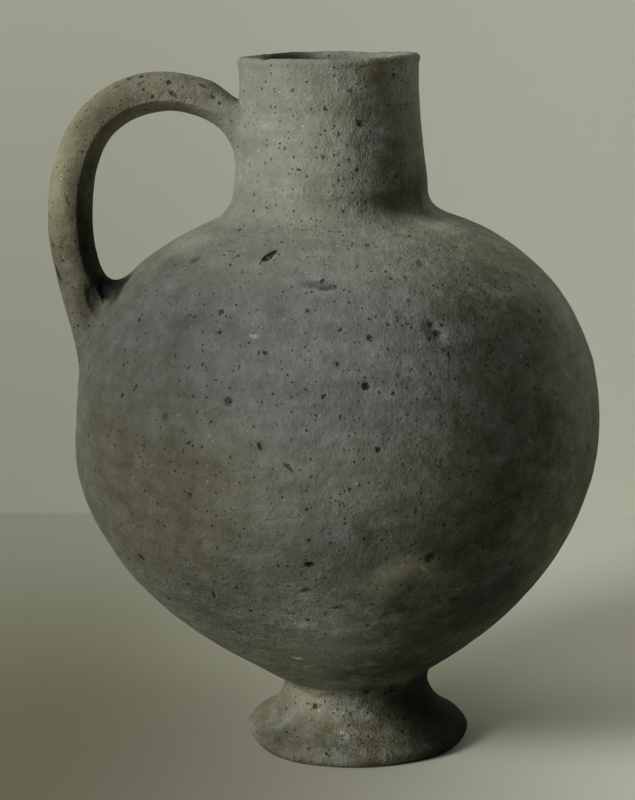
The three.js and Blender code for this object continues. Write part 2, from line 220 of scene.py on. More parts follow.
def directions(line):
    """The unit direction of a line at each point, from the differences between neighbours."""
    along = np.gradient(line, axis=0)
    return along / np.linalg.norm(along, axis=1, keepdims=True)


def beside(line, distance):
    """The line moved to the left of its run: every point plus the distance times (-dz, dr)."""
    along = directions(line)
    return line + np.column_stack([-along[:, 1], along[:, 0]]) * np.reshape(distance, (-1, 1))


def strip(line, spacing, share=1.0):
    """Rows of an outline as (radius, height, push in radius, push in height).

    The push is the unit normal to the right of the run, times the share of the unevenness
    that these rows take.
    """
    points = evenly(np.asarray(line, float), spacing)
    along = directions(points)
    push = np.column_stack([along[:, 1], -along[:, 0]])
    return np.column_stack([points, push * np.reshape(share, (-1, 1))])


def joined(*strips):
    """Strips one after another, without the points that they share."""
    rows = [strips[0]]
    for piece in strips[1:]:
        touching = np.linalg.norm(piece[0, :2] - rows[-1][-1, :2]) < 1e-6
        rows.append(piece[1:] if touching else piece)
    return np.vstack(rows)


# %% [markdown]
# ## The lean
# The jug stands level on its foot but leans towards its handle. Its rings were turned level, so
# they tip with the lean. One function moves any point of the upright jug to its leaning place,
# as the frame does, and every piece goes through it, so they all still meet.

# %% From the upright jug to the leaning one
BOWL_LEAN = 0.0992
UPPER_LEAN = 0.0235
LEAN_EASE_FOOT = 4.0
LEAN_EASE_BELLY = 20.0
LEAN_CHANGE_DROP = 17.0
SECTION_TILT = 0.66
UPPER_TILT = 0.01  # what the upper half's rings tip besides
STEM_SHIFT = 0.9  # the foot's narrow part was set a little towards the handle


def bell(value, middle, width):
    """A bump of height 1: e to the power of minus the square of (value - middle) / width."""
    return np.exp(-(((value - middle) / width) ** 2))


def climb(height, start, half):
    """A climb that comes in smoothly from start - half to start + half, as value and slope."""
    t = np.clip((height - start + half) / (2 * half), 0, 1)
    past = np.maximum(0, height - start - half)
    return 2 * half * (t**3 - t**4 / 2) + past, 3 * t**2 - 2 * t**3


def settle(points):
    """Moves each point sideways by the lean below it and tips it by a share of the lean's angle."""
    x, y, z = np.moveaxis(points, -1, 0)
    bowl, bowl_slope = climb(z, FOOT_HEIGHT, LEAN_EASE_FOOT)
    upper, upper_slope = climb(z, BELLY_Z - LEAN_CHANGE_DROP, LEAN_EASE_BELLY)
    back = BOWL_LEAN - UPPER_LEAN
    shift = back * upper - BOWL_LEAN * bowl
    lean = np.arctan(back * upper_slope - BOWL_LEAN * bowl_slope)
    tilt = lean * SECTION_TILT - UPPER_TILT * upper_slope
    shift = shift - STEM_SHIFT * bell(z, FOOT_HEIGHT - 1, 9)
    return np.stack([AXIS_X + shift + x * np.cos(tilt), y, z - x * np.sin(tilt)], -1)


# %% [markdown]
# ## The unevenness of the hand
# Nothing thrown by hand is quite round. Three things are added to the outside of each turned
# piece, as one height in millimetres at each point: slow swells, fine ridges left by the fingers
# as the clay turned, and the places where the photograph's outline departs from a turned one.
# Neighbouring pieces read the same function, so their edges stay together.

# %% Smooth random heights
def swells(points, wavelength, seed, waves=36):
    """A smooth random height: the sum of cosines of (k . p + phase) along random directions k.

    It is scaled so that it mostly stays between -1 and 1.
    """
    rng = np.random.default_rng(seed)
    heading = rng.normal(size=(waves, 3))
    heading /= np.linalg.norm(heading, axis=1, keepdims=True)
    length = wavelength * rng.uniform(0.7, 1.5, waves)
    phase = rng.uniform(0, 2 * math.pi, waves)
    total = np.zeros(points.shape[:-1])
    for k in range(waves):
        total += np.cos(points @ (heading[k] * 2 * math.pi / length[k]) + phase[k])
    return total / math.sqrt(waves)


def facing(points, degrees, spread):
    """How much a point of the upright jug faces a heading, from 1 down to 0.

    Heading 0 is the front, 90 the side away from the handle.
    """
    angle = np.arctan2(points[..., 0], -points[..., 1])
    off = (angle - math.radians(degrees) + math.pi) % (2 * math.pi) - math.pi
    return bell(off, 0, math.radians(spread))


def bells_around(points, bells):
    """The sum of bells round the heading, each given as (heading, spread, amount)."""
    return sum(amount * facing(points, heading, spread) for heading, spread, amount in bells)


# %% The outline's own departures, as (heading, spread, height, width, amount)
Swell = namedtuple("Swell", "heading spread height width amount")
DEPARTURES = [
    Swell(50, 50, CORNER_Z + 3.5, 5, -2.4),
    Swell(-90, 40, 196, 9, -0.6),
    Swell(-90, 45, 127, 9, -0.7),
    Swell(-90, 40, 135, 8, -0.4),
    Swell(-90, 45, 106, 11, 0.45),
    Swell(-90, 40, 86, 8, -0.6),
    Swell(-90, 40, 59, 7, 0.25),
    Swell(-90, 40, 36, 6, -0.5),
    Swell(90, 45, 136, 14, 0.3),
    Swell(90, 45, 96, 22, 0.45),
    Swell(90, 40, 46, 9, 0.45),
    Swell(90, 40, 31, 4, -0.3),
]


def unevenness(points):
    """The height of the real surface above the turned one, in millimetres."""
    z = points[..., 2]
    height = 0.16 * swells(points, 70, seed=3) + 0.07 * swells(points, 24, seed=4)
    stretched = points * (0.12, 0.12, 1)
    height += 0.05 * swells(stretched, 7, seed=5) + 0.025 * swells(stretched, 3, seed=6)
    for swell in DEPARTURES:
        height += (
            swell.amount
            * facing(points, swell.heading, swell.spread)
            * bell(z, swell.height, swell.width)
        )
    return height


# %% [markdown]
# ## Marks of use and painted shade
# Holes, chips, scratches and burnt-out specks sit where the photograph shows them. The dark of
# the holes, pits, gouges and creases is partly painted shade inside them, and the dark line along
# the neck's foot and the dark band under the handle's crook are painted shadows on shallow dents.
# Each mark is named and given by two pixels, its ends, and its width in millimetres. Its two sight
# lines are followed to the clay, and that gives its centre, its direction and its length on the
# surface. Wide deep marks are pressed into the meshes of the bowl, the shoulder and the foot, and
# not into those of the neck, the handle and the coils. All marks go into the material.

# %% Marks, as (start, end, width, (stops, coolness, height))
Mark = namedtuple("Mark", "start end width change")


def scrape(start, end, width, stops, height=0.0):
    """A long mark between two pixels."""
    return Mark(start, end, width, (stops, 0.0, height))


def dot(pixel, width, stops, height=0.0):
    """A round mark at one pixel."""
    return Mark(pixel, pixel, width, (stops, 0.0, height))


# the negative stops of holes, pits, gouges and creases are partly painted shade inside them
MARKS = {
    "gouge on the shoulder": scrape((264.5, 259.5), (275.5, 251.5), 2.6, -3.2, -1.6),
    "gouge head": dot((268, 258), 3.6, -1.4, -0.9),
    "pale lip of the gouge": scrape((272, 261.5), (277, 256), 1.2, 0.8, 0.25),
    "dot by the gouge": dot((230.5, 264.6), 1.4, -2.4, -0.6),
    "rough spot left": dot((195.7, 259), 5.0, -0.7, -0.4),
    "rough spot right": dot((422, 263.4), 4.5, -0.7, -0.35),
    "worn lip of the patch": scrape((304, 284), (334, 286), 3.6, -0.7, -0.5),
    "worn lip, right end": scrape((322, 289), (336, 287), 2.4, -0.9, -0.5),
    "ring around a grit": dot((166.8, 295.5), 2.8, 0.55, 0.1),
    "grit in the ring": dot((166.8, 295.5), 1.4, -0.8, 0.2),
    "white inclusion": scrape((251, 336), (257, 337), 2.0, 0.95, 0.15),
    "pale scratch": scrape((193, 360), (206, 349), 1.3, 0.5, -0.05),
    "level dash": scrape((164, 353), (177, 353), 0.9, -0.6, -0.15),
    "level dash, left": scrape((141, 352), (151, 353), 0.8, -0.5, -0.1),
    "speck 1": dot((202.9, 364.6), 1.3, -1.8, -0.4),
    "speck 2": dot((125.7, 338), 1.2, -1.6, -0.4),
    "speck 3": dot((146, 404), 1.3, -1.5, -0.3),
    "speck 4": dot((181, 466), 1.2, -1.4, -0.3),
    "speck 5": dot((185, 473), 1.1, -1.3, -0.3),
    "speck 6": dot((159.6, 521), 1.5, -1.9, -0.4),
    "ragged pit": dot((228.8, 401.5), 3.4, -1.3, -0.4),
    "white spot": dot((210, 435.7), 1.4, 0.9, 0.1),
    "rough spot on the flank": dot((166, 418), 3.6, -0.7, -0.25),
    "pit left of centre": scrape((259.5, 444), (261, 449), 1.5, -2.2, -0.6),
    "double pit": scrape((285, 464), (292, 470), 1.7, -1.9, -0.5),
    "dark pit low": scrape((140, 556), (144, 559), 2.1, -2.5, -0.7),
    "pit 1": dot((197, 508), 1.7, -1.4, -0.3),
    "pit 2": scrape((213.5, 591), (215, 598), 1.5, -2.1, -0.5),
    "pit 3": dot((293.9, 613), 1.6, -2.0, -0.5),
    "pit 4": scrape((263, 636), (270, 638), 1.6, -1.4, -0.3),
    "pit 5": scrape((334, 607), (342, 605), 1.9, -1.8, -0.5),
    "pit 6": dot((367, 625.7), 2.2, -1.6, -0.4),
    "pit 7": dot((384, 614), 2.0, -1.2, -0.4),
    "pit 8": scrape((302, 591), (309, 588), 2.0, -2.0, -0.5),
    "pale curl": scrape((179, 527), (187, 526), 1.1, 0.55, 0.1),
    "pale scratch low": scrape((155, 547), (171, 543), 0.9, 0.6, 0.05),
    "whitish patch": dot((207, 543), 6.0, 0.45),
    "round hole": scrape((307.5, 564), (312, 564.5), 2.3, -3.2, -1.0),
    "rough patch": scrape((360, 524), (374, 542), 7.0, -0.5, -0.3),
    "pale scratch by it": scrape((355, 548), (374, 555), 0.9, 0.9, 0.05),
    "rough by the slit": dot((401, 609), 5.0, -0.9, -0.4),
    "white chip": scrape((296, 658), (302, 658.5), 2.6, 1.5, 0.6),
    "crumbs left": scrape((293, 664), (298, 667), 1.8, 0.9, 0.2),
    "crumbs right": scrape((303, 667), (311, 666), 1.8, 0.8, 0.2),
    "pale ridge": scrape((322, 671), (368, 670), 1.6, 0.45, 0.4),
    "faint level line": scrape((228, 514), (362, 513), 1.0, -0.35, -0.1),
    "deep round pit": dot((429.5, 557.3), 4.2, -1.2, -1.3),
    "flake under it": scrape((420, 565), (432, 574), 1.8, 0.9, 0.2),
    "slit": scrape((449, 598), (459, 598), 1.6, -1.6, -0.7),
    "white flake, upper": scrape((438.5, 474), (440.5, 480), 1.5, 1.6, 0.15),
    "white flake, lower": scrape((439, 485), (440, 491), 1.5, 1.5, 0.15),
    "pale spot": dot((504, 502), 1.6, 1.4, 0.1),
    "white dot": dot((470, 472), 1.3, 1.2, 0.1),
    "upright streak": scrape((408, 449), (408, 474), 1.1, 0.4),
    "hole": dot((378, 449.5), 2.1, -2.4, -0.8),
    "pale lip of the hole": scrape((381, 447), (386, 453), 1.4, 0.7, 0.15),
    "dark hole": dot((365.9, 386.6), 2.7, -2.8, -0.9),
    "small dark hole": dot((393.6, 393.8), 1.7, -2.3, -0.6),
    "pitted patch": scrape((428, 326), (440, 340), 6.5, -0.5, -0.5),
    "pitted patch, pit 1": dot((431, 325), 2.6, -1.5, -0.7),
    "pitted patch, pit 2": dot((437, 334), 2.9, -1.4, -0.8),
    "pitted patch, pit 3": dot((430, 340), 2.1, -1.3, -0.6),
    "pit under the patch": dot((449, 355), 2.2, -1.1, -0.4),
    "long crack": scrape((566, 318), (583, 335), 1.4, -1.9, -0.7),
    "thin scratch": scrape((540, 350), (572, 382), 0.9, -0.6, -0.15),
    "white nick": scrape((546, 420), (552, 422), 1.1, 1.3, 0.05),
    "pale nick": scrape((485, 426), (491, 424), 1.0, 0.8, 0.05),
    "neck, black dot": dot((243.6, 91), 1.3, -2.8, -0.4),
    "neck, hole": scrape((358, 121), (361, 125), 2.0, -2.3, -0.8),
    "neck, pit 1": dot((357, 170), 1.6, -2.2, -0.5),
    "neck, pit 2": dot((395, 177), 1.7, -1.3, -0.5),
    "neck, nick": scrape((297.5, 168.5), (301.5, 171), 1.0, -2.3, -0.4),
    "neck, pit 3": dot((266, 164), 1.2, -1.6, -0.3),
    # painted shadow: a dark line along the neck's foot, on a shallow dent
    "neck foot, dent with painted shadow": scrape((384, 213), (430, 217), 1.5, -0.7, -0.6),
    "ring of specks": dot((520, 361), 5.0, -0.4, -0.35),
    "speck in the ring": dot((521, 357), 1.6, 1.0, 0.2),
    "pale scratch on the right": scrape((561, 366), (571, 382), 1.0, 0.8, 0.05),
    "foot, pit 1": dot((315.9, 706.4), 2.4, -2.2, -0.6),
    "foot, pit 2": dot((333.8, 715), 1.5, -1.8, -0.4),
    "foot, pit 3": dot((298.6, 738.6), 1.9, -2.4, -0.6),
    "foot, grit 1": dot((358.4, 751.4), 2.1, 1.0, 0.3),
    "foot, grit 2": dot((374.5, 754.5), 1.8, 0.9, 0.3),
    "foot, grit 3": dot((322.2, 758.4), 1.7, 0.8, 0.3),
    "foot, dark hole": dot((366.3, 692.5), 2.3, -3.0, -0.9),
    "foot, smoothed slab": scrape((306, 688), (327, 692), 5.6, 0.2, 0.75),
    "foot, seam left": scrape((288, 684), (299, 687), 0.9, -1.0, -0.35),
    "foot, seam right": scrape((313, 684), (336, 687), 0.9, -1.1, -0.4),
    "foot, lit wedge": scrape((345, 677), (364, 674), 2.2, 0.7, 0.3),
    "scraped edge low left": scrape((175, 607), (230, 646), 1.7, -0.5, -0.4),
    "thumb crease": scrape((89, 290), (97, 314), 4.6, -0.9, -1.1),
    "thumb crease, right": scrape((101, 286), (107, 297), 4.0, -1.5, -1.1),
    "ridge between the creases": scrape((96, 291), (101, 302), 2.4, 0.35, 0.7),
    # painted shade: the dark band under the handle's crook, on a shallow dent
    "painted shade under the crook": scrape((112, 284), (134, 275), 2.6, -2.2, -0.3),
    "rough pit on the strap": scrape((56, 267), (61, 282), 2.4, -1.8, -0.7),
    "strap, pit 1": dot((53, 245), 1.6, -1.6, -0.4),
    "strap, pit 2": scrape((66, 195), (70, 206), 1.6, -0.9, -0.3),
    "strap, pit 3": dot((142, 77), 2.0, -1.6, -0.5),
    "strap, pit 4": dot((169, 82), 2.2, -1.9, -0.5),
    "strap, pit 5": scrape((171, 92), (176, 96), 2.0, -1.5, -0.5),
    "strap, pit 6": dot((153, 97), 1.8, -1.3, -0.4),
    "strap, pit 7": scrape((200, 84), (208, 88), 1.8, -1.2, -0.4),
    "strap, root dot": dot((220, 103), 1.5, -2.2, -0.4),
}


# %% Where a mark lies
ROUND_BELOW = 0.1  # a mark whose ends are nearer than this is round
LEAST_DEPTH = 1.6  # how far a mark's mask reaches into the clay, at least


def mark_frame(start, end, width):
    """A mark's centre, axes, half sizes and node, from the places where its ends meet the clay.

    The axes run along it, across it and out of the clay, as the columns of a matrix.
    """
    (first, normal_a, node), (last, normal_b, _) = look_at_clay(start), look_at_clay(end)
    out = normal_a + normal_b
    out /= np.linalg.norm(out)
    along = last - first
    length = np.linalg.norm(along)
    if length < ROUND_BELOW:
        along = np.cross((0, 0, 1), out)
    across = np.cross(out, along)
    across /= np.linalg.norm(across)
    axes = np.column_stack([np.cross(across, out), across, out])
    half = np.array([(length + width) / 2, width / 2, max(LEAST_DEPTH, width / 2)])
    return (first + last) / 2, axes, half, node


Placed = namedtuple("Placed", "centre axes half node change")
placed_marks = {
    name: Placed(*mark_frame(m.start, m.end, m.width), m.change) for name, m in MARKS.items()
}
print(len(placed_marks), "marks on", sorted({m.node for m in placed_marks.values()}))


# %% Pressing marks into a grid
PRESSED_FROM = 2.2  # in a pressed grid, a mark at least this wide is also a real dent
PRESSED_DEPTH = 0.25  # if its height is at least this
PRESSED_REACH = (1.1, 1.1, 1.6)  # the dent's size in the mark's own half sizes


def press(grid):
    """Moves each point along a mark's outward axis, by the mark's height x a smooth step.

    The step runs over 1 minus the distance, measured in the mark's own half sizes.
    """
    for mark in placed_marks.values():
        if 2 * mark.half[1] < PRESSED_FROM or abs(mark.change[2]) < PRESSED_DEPTH:
            continue
        local = (grid - mark.centre) @ mark.axes / (mark.half * PRESSED_REACH)
        near = np.clip(1 - np.linalg.norm(local, axis=-1), 0, 1)
        depth = mark.change[2] * (3 * near**2 - 2 * near**3)
        grid = grid + mark.axes[:, 2] * depth[..., None]
    return grid


# %% [markdown]
# ## Turning a piece
# A turned piece is an outline carried round the axis, which numpy does for all its points at
# once: a grid with one row for each point of the outline and one column for each step round.

# %% Turned grids
def turned(rows, columns):
    """Each row at every angle a round the axis: x = r sin a, y = -r cos a.

    The push times the unevenness is added, and the lean comes last.
    """
    angle = np.arange(columns) * 2 * math.pi / columns
    heading = np.stack([np.sin(angle), -np.cos(angle), 0 * angle], -1)
    up = np.array([0.0, 0.0, 1.0])
    r, z, push_r, push_z = (rows[:, k, None, None] for k in range(4))
    upright = r * heading + z * up
    push = push_r * heading + push_z * up
    return settle(upright + push * unevenness(upright)[..., None])


# %% From a grid to a mesh
def make_piece(name, node, grid, ends="ring", sharp=50):
    """Puts a grid of points in millimetres into a mesh in metres.

    The columns always close on themselves. With ends "ring" so do the rows, and with "caps"
    the first and last row each close on a point in their middle.
    """
    rows, columns = grid.shape[:2]
    vertices = grid.reshape(-1, 3)
    down = np.arange(rows if ends == "ring" else rows - 1)[:, None]
    across = np.arange(columns)[None, :]
    after, beyond = (down + 1) % rows, (across + 1) % columns
    quads = np.stack(
        [
            down * columns + across,
            down * columns + beyond,
            after * columns + beyond,
            after * columns + across,
        ],
        -1,
    ).reshape(-1, 4)
    faces = quads.tolist()
    if ends == "caps":
        middles = np.stack([grid[0].mean(axis=0), grid[-1].mean(axis=0)])
        first, last = len(vertices), len(vertices) + 1
        vertices = np.vstack([vertices, middles])
        rim = across[0]
        low = np.stack([np.roll(rim, -1), rim, np.full(columns, first)], -1)
        top = (rows - 1) * columns
        high = np.stack([top + rim, top + np.roll(rim, -1), np.full(columns, last)], -1)
        faces += low.tolist() + high.tolist()
    mesh = bpy.data.meshes.new(name)
    mesh.from_pydata((vertices * MM).tolist(), [], faces)
    mesh.shade_smooth()
    mesh.set_sharp_from_angle(angle=math.radians(sharp))
    mesh.update()
    piece = bpy.data.objects.new(name, mesh)
    bpy.context.scene.collection.objects.link(piece)
    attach(piece, "root")
    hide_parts(node)
    size = np.ptp(vertices, axis=0)
    triangles = sum(len(f) - 2 for f in faces)
    print(f"{name}: {triangles} triangles, {size[0]:.1f} x {size[1]:.1f} x {size[2]:.1f} mm")
    return piece


# %% [markdown]
# ## Body: bowl and shoulder
# The body was thrown as a bowl and a shoulder, luted rim to rim at the widest ring. The seam was
# scraped away, so both halves end in the same ring of points and the line between them is only
# where one mesh stops. Both walls have an inside, because the mouth shows some of it.

# %% Stretches of a line
SKIN_STEP = 1.15  # spacing on the outside
HIDDEN_STEP = 5.0  # spacing inside, where only the mouth shows it
BODY_COLUMNS = 560


def stretch(line, start=0.0, end=None):
    """The part of a line between two lengths from its start, or from its end if below zero."""
    along = lengths_along(line)
    end = along[-1] if end is None else end
    first, last = (v if v >= 0 else along[-1] + v for v in (start, end))
    places = np.linspace(first, last, len(line))
    return np.column_stack([np.interp(places, along, axis) for axis in line.T])


def easing(line, spacing, first, last):
    """A strip whose share of the unevenness goes evenly from first to last."""
    rows = strip(line, spacing)
    rows[:, 2:] *= np.linspace(first, last, len(rows))[:, None]
    return rows


def straight(start, end, spacing, first=0.0, last=0.0):
    """A straight strip between two points."""
    return easing(np.linspace(start, end, 21), spacing, first, last)


# %% The bowl
bowl_wall = np.linspace(BASE_WALL, BELLY_WALL, len(SHARES))
bowl_inside = beside(bowl_curve, bowl_wall)
bowl_inside = bowl_inside[bowl_inside[:, 1] < BELLY_Z - SCARF]
bottom_inside = beside(bottom_curve, BASE_WALL)
bowl_rows = joined(
    strip(stretch(bottom_curve, 1), 3, 0),
    easing(stretch(bowl_curve, 0, 6), SKIN_STEP, 0, 1),
    strip(stretch(bowl_curve, 6), SKIN_STEP),
    straight(widest, bowl_inside[-1], 3, 1, 0),
    strip(bowl_inside[::-1], HIDDEN_STEP, 0),
    strip(stretch(bottom_inside[::-1], 2, -1), HIDDEN_STEP, 0),
)
bowl_grid = press(turned(bowl_rows, BODY_COLUMNS))
print("bowl grid", bowl_grid.shape)

# %% The shoulder
shoulder_wall = np.linspace(BELLY_WALL, THROAT_WALL, len(SHARES))
shoulder_inside = beside(shoulder_curve, shoulder_wall)
throat = corner - (THROAT_WALL, SCARF)
shoulder_rows = joined(
    strip(shoulder_curve, SKIN_STEP),
    straight(corner, throat, 3, 1, 0),
    strip(shoulder_inside[::-1], HIDDEN_STEP, 0),
    straight(bowl_inside[-1], widest, 3, 0, 1),
)[:-1]
shoulder_grid = press(turned(shoulder_rows, BODY_COLUMNS))
print("shoulder grid", shoulder_grid.shape)

# %% [markdown]
# ## Neck
# The neck is a plain collar with a small rounded bead at the lip. The rim was never level: it
# sags at the front, lifts on the right, and has lost small chips. Moving only the rows near the
# top, by an amount that depends on the heading, gives that without touching the wall below.

# %% The neck
NECK_COLUMNS = 400
NECK_STEP = 0.6
RIM_FADE = 9.0  # how far below the rim its unevenness fades out
RIM_LIFTS = ((-150, 40, 0.4), (25, 30, -0.5), (-47, 5, -0.7), (150, 12, -0.5))
neck_inside_radius = NECK_TOP_RADIUS - RIM_WALL

bead = np.column_stack(
    [
        NECK_TOP_RADIUS + LIP_BEAD * np.sin(SHARES * math.pi / 2) ** 2,
        RIM_Z - LIP_HEIGHT * (1 - 0.6 * SHARES),
    ]
)
rim_top = bezier(
    bead[-1],
    (NECK_TOP_RADIUS + LIP_BEAD, RIM_Z + 0.3),
    (neck_inside_radius + 0.8, RIM_Z + 0.3),
    (neck_inside_radius, RIM_Z - 2.5),
)
neck_inside = beside(neck_curve, np.linspace(THROAT_WALL, RIM_WALL, len(SHARES)))
neck_rows = joined(
    strip(neck_curve, NECK_STEP),
    strip(np.vstack([neck_curve[-1], bead]), NECK_STEP),
    strip(rim_top, NECK_STEP),
    strip(np.vstack([rim_top[-1], neck_inside[::-1]]), 1.5, 0.3),
    straight(neck_inside[0], throat, 3),
    straight(throat, corner, 3, 0, 1),
)[:-1]


def uneven_rim(grid):
    """Lifts or lowers the rows near the rim by swells and bells round the heading."""
    around = grid - np.array([grid[..., 0].mean(), 0, 0])
    lift = 0.12 * swells(around, 14, seed=11) + 0.1 * swells(around, 5, seed=12)
    lift += bells_around(around, RIM_LIFTS)
    fade = np.clip((grid[..., 2] - (RIM_Z - RIM_FADE)) / RIM_FADE, 0, 1) ** 2
    grid[..., 2] += lift * fade
    return grid


neck_grid = uneven_rim(turned(neck_rows, NECK_COLUMNS))
print("neck grid", neck_grid.shape)

# %% [markdown]
# ## Foot
# The foot is a low flared ring, hollow underneath, with a soft rounded edge. It is a little out
# of round, fuller at the front left and a little fuller at the front right.

# %% The foot
FOOT_COLUMNS = 420
FOOT_STEP = 0.65
FOOT_FULLER = ((-38, 30, 0.1), (25, 50, 0.05))
seat = beside(bottom_curve, -0.1)
seat = seat[seat[:, 0] > FOOT_HOLLOW_TOP][::-1]
foot_edge = bezier((FOOT_REST_OUTER, 0), (FOOT_RADIUS + FOOT_EDGE_ROUND, FOOT_EDGE / 2), edge_top)
foot_hollow = bezier(seat[-1], (FOOT_HOLLOW_TOP, FOOT_HOLLOW_BEND), (FOOT_REST_INNER, 0))
foot_rows = joined(
    straight((FOOT_REST_INNER, 0), (FOOT_REST_OUTER, 0), 2),
    easing(foot_edge, FOOT_STEP, 0, 1),
    strip(stretch(foot_curve, 0, -5), FOOT_STEP),
    easing(stretch(foot_curve, -5), FOOT_STEP, 1, 0),
    strip(seat, 2, 0),
    strip(foot_hollow, 2, 0),
)[:-1]


def out_of_round(grid):
    """Widens or narrows the lower part of the foot.

    Each point's distance from the axis is multiplied by 1 plus a sum of bells round the
    heading, which fades out towards the joint.
    """
    around = grid - np.array([AXIS_X, 0, 0])
    wide = bells_around(around, FOOT_FULLER) + 0.01 * swells(around, 30, seed=21)
    fade = np.clip((FOOT_HEIGHT - grid[..., 2]) / FOOT_HEIGHT, 0, 1) ** 2
    grid[..., :2] = around[..., :2] * (1 + wide * fade)[..., None] + (AXIS_X, 0)
    return grid


foot_grid = press(out_of_round(turned(foot_rows, FOOT_COLUMNS)))
print("foot grid", foot_grid.shape)

# %% [markdown]
# ## Luting coils
# A soft coil was pressed into the corner where the neck meets the shoulder, and another where
# the foot meets the bowl, and both were smoothed with a wet finger. Each is a fillet: it leaves
# one wall along that wall's own direction and lands on the other along its direction.

# %% The two coils
NECK_COIL_LEG = 8.5
FOOT_COIL_LEG = 4.0
COIL_HOLD = 0.62  # how long the fillet follows each wall, as a share of its leg


def luting(lower, upper, leg, spacing):
    """A fillet between two lines that meet: its face, then back along both lines."""
    below, above = stretch(lower, -leg), stretch(upper, 0, leg)
    leave, land = directions(below)[0], directions(above)[-1]
    hold = COIL_HOLD * leg
    face = bezier(below[0], below[0] + leave * hold, above[-1] - land * hold, above[-1])
    behind = easing(above[::-1], 2, 1, 1)
    behind[:, 2:] *= -1
    under = easing(below[::-1], 2, 1, 1)
    under[:, 2:] *= -1
    return joined(strip(face, spacing), behind, under)[:-1]


neck_coil_grid = turned(luting(shoulder_curve, neck_curve, NECK_COIL_LEG, 0.6), NECK_COLUMNS)
foot_coil_rows = luting(foot_curve, bowl_curve, FOOT_COIL_LEG, 0.4)
foot_coil_grid = turned(foot_coil_rows, FOOT_COLUMNS)
print("coil grids", neck_coil_grid.shape, foot_coil_grid.shape)

# %% [markdown]
# ## Handle
# The handle was pulled from a lump of clay, bent into a loop, and its ends were thumbed out on
# the neck and the shoulder. Its section is a rounded strap: a superellipse, which is an ellipse
# with fuller corners. Each root is a bundle of curves, one for each point of the strap's last
# ring. Every curve leaves along the strap and lands along the wall, and together they make the
# wide fillet that a thumb leaves.

# %% Sizes of the handle
STRAP_WIDTH = 21.0
STRAP_THICKNESS_TOP = 13.4
STRAP_THICKNESS_LOW = 16.8
STRAP_SQUARENESS = 2.4
INNER_SQUARENESS = 1.35  # of the half that faces the neck
ARRIS = -0.4  # where the strap is widest, from -1 inside to 1 outside
TOP_ROOT_DROP = 21.0
LOOP_START_RISE = 30.0
LOOP_RISE = 9.1
LOOP_PEAK_REACH = 27.5
LOOP_REACH = 63.4
LOOP_DROP = 46.6
LOOP_FULLNESS = 0.62
LOWER_RUN = 15.5
LOWER_RUN_IN = 5.5
ROOT_LEAVE = 0.36
ROOT_LAND = 0.24
ROOT_SINK = 3.0
Root = namedtuple("Root", "outer inner side deepen")
TOP_ROOT = Root(outer=8.0, inner=21.0, side=15.5, deepen=0.12)
LOW_ROOT = Root(outer=30.0, inner=19.0, side=14.0, deepen=0.38)
TOP_ROOT_START = 15.0
TOP_ROOT_MIDDLE_DROP = 1.5
LOW_ROOT_FROM_CORNER = 60.5

# %% The strap's middle line
HANDLE_COLUMNS = 128
LOOP_STEP = 0.7
ROOT_ROWS = 44


def length_of(line):
    """The length of a line, summed over its steps."""
    return np.linalg.norm(np.diff(line, axis=0), axis=1).sum()


def along_line(line, lengths):
    """Points and unit directions of a line at lengths from its start."""
    along = lengths_along(line)
    both = np.column_stack([line, directions(line)])
    found = np.stack([np.interp(lengths, along, axis) for axis in both.T], -1)
    heading = found[..., 2:]
    return found[..., :2], heading / np.linalg.norm(heading, axis=-1, keepdims=True)


top_root_z = RIM_Z - TOP_ROOT_DROP
top_root_radius = np.interp(top_root_z, neck_curve[:, 1], neck_curve[:, 0])
root_point = np.array([top_root_radius, top_root_z])
peak = root_point + (LOOP_PEAK_REACH, LOOP_RISE)
outermost = root_point + (LOOP_REACH, LOOP_RISE - LOOP_DROP)
loop = np.vstack(
    [
        bezier(
            root_point,
            root_point + polar(LOOP_START_RISE, 0.33 * LOOP_PEAK_REACH),
            peak - (0.42 * LOOP_PEAK_REACH, 0),
            peak,
        ),
        bezier(
            peak,
            peak + (LOOP_FULLNESS * (outermost[0] - peak[0]), 0),
            outermost + (0, LOOP_FULLNESS * LOOP_DROP),
            outermost,
        )[1:],
        bezier(
            outermost,
            outermost - (0, LOWER_RUN / 2),
            outermost + polar(270 - LOWER_RUN_IN, LOWER_RUN),
        )[1:],
    ]
)
print(f"middle line of the handle {length_of(loop):.0f} mm")


# %% The strap's rings
def in_loop_plane(flat, across=0.0):
    """A point (reach, height) of the loop's plane in the room: (-reach, across, height)."""
    return np.stack([-flat[..., 0], across + 0 * flat[..., 0], flat[..., 1]], -1)


ring_angle = np.arange(HANDLE_COLUMNS) * 2 * math.pi / HANDLE_COLUMNS


def section(angle):
    """How far out and how far across the strap's section reaches at each angle, from -1 to 1.

    They are a cosine and a sine, each to the power 2 / squareness. The full outer half and the
    wedge-like inner half meet in an arris, where the strap is widest.
    """
    cos, sin = np.cos(angle), np.sin(angle)
    power = 2 / np.where(cos > 0, STRAP_SQUARENESS, INNER_SQUARENESS)
    reach = np.where(cos > 0, 1 - ARRIS, 1 + ARRIS)
    out = ARRIS + reach * np.sign(cos) * np.abs(cos) ** power
    return out, np.sign(sin) * np.abs(sin) ** power


def strap_rings(lengths):
    """Rings of the section, square to the middle line, growing evenly thicker along it."""
    at, heading = along_line(loop, lengths)
    away = np.stack([-heading[:, 1], heading[:, 0]], -1)
    share = (lengths / length_of(loop))[:, None, None]
    half = (STRAP_THICKNESS_TOP + (STRAP_THICKNESS_LOW - STRAP_THICKNESS_TOP) * share) / 2
    out, across = section(ring_angle)
    flat = at[:, None] + away[:, None] * half * out[:, None]
    return in_loop_plane(flat, STRAP_WIDTH / 2 * across), in_loop_plane(heading)


loop_lengths = np.linspace(
    TOP_ROOT_START, length_of(loop), round((length_of(loop) - TOP_ROOT_START) / LOOP_STEP)
)
strap, strap_heading = strap_rings(loop_lengths)


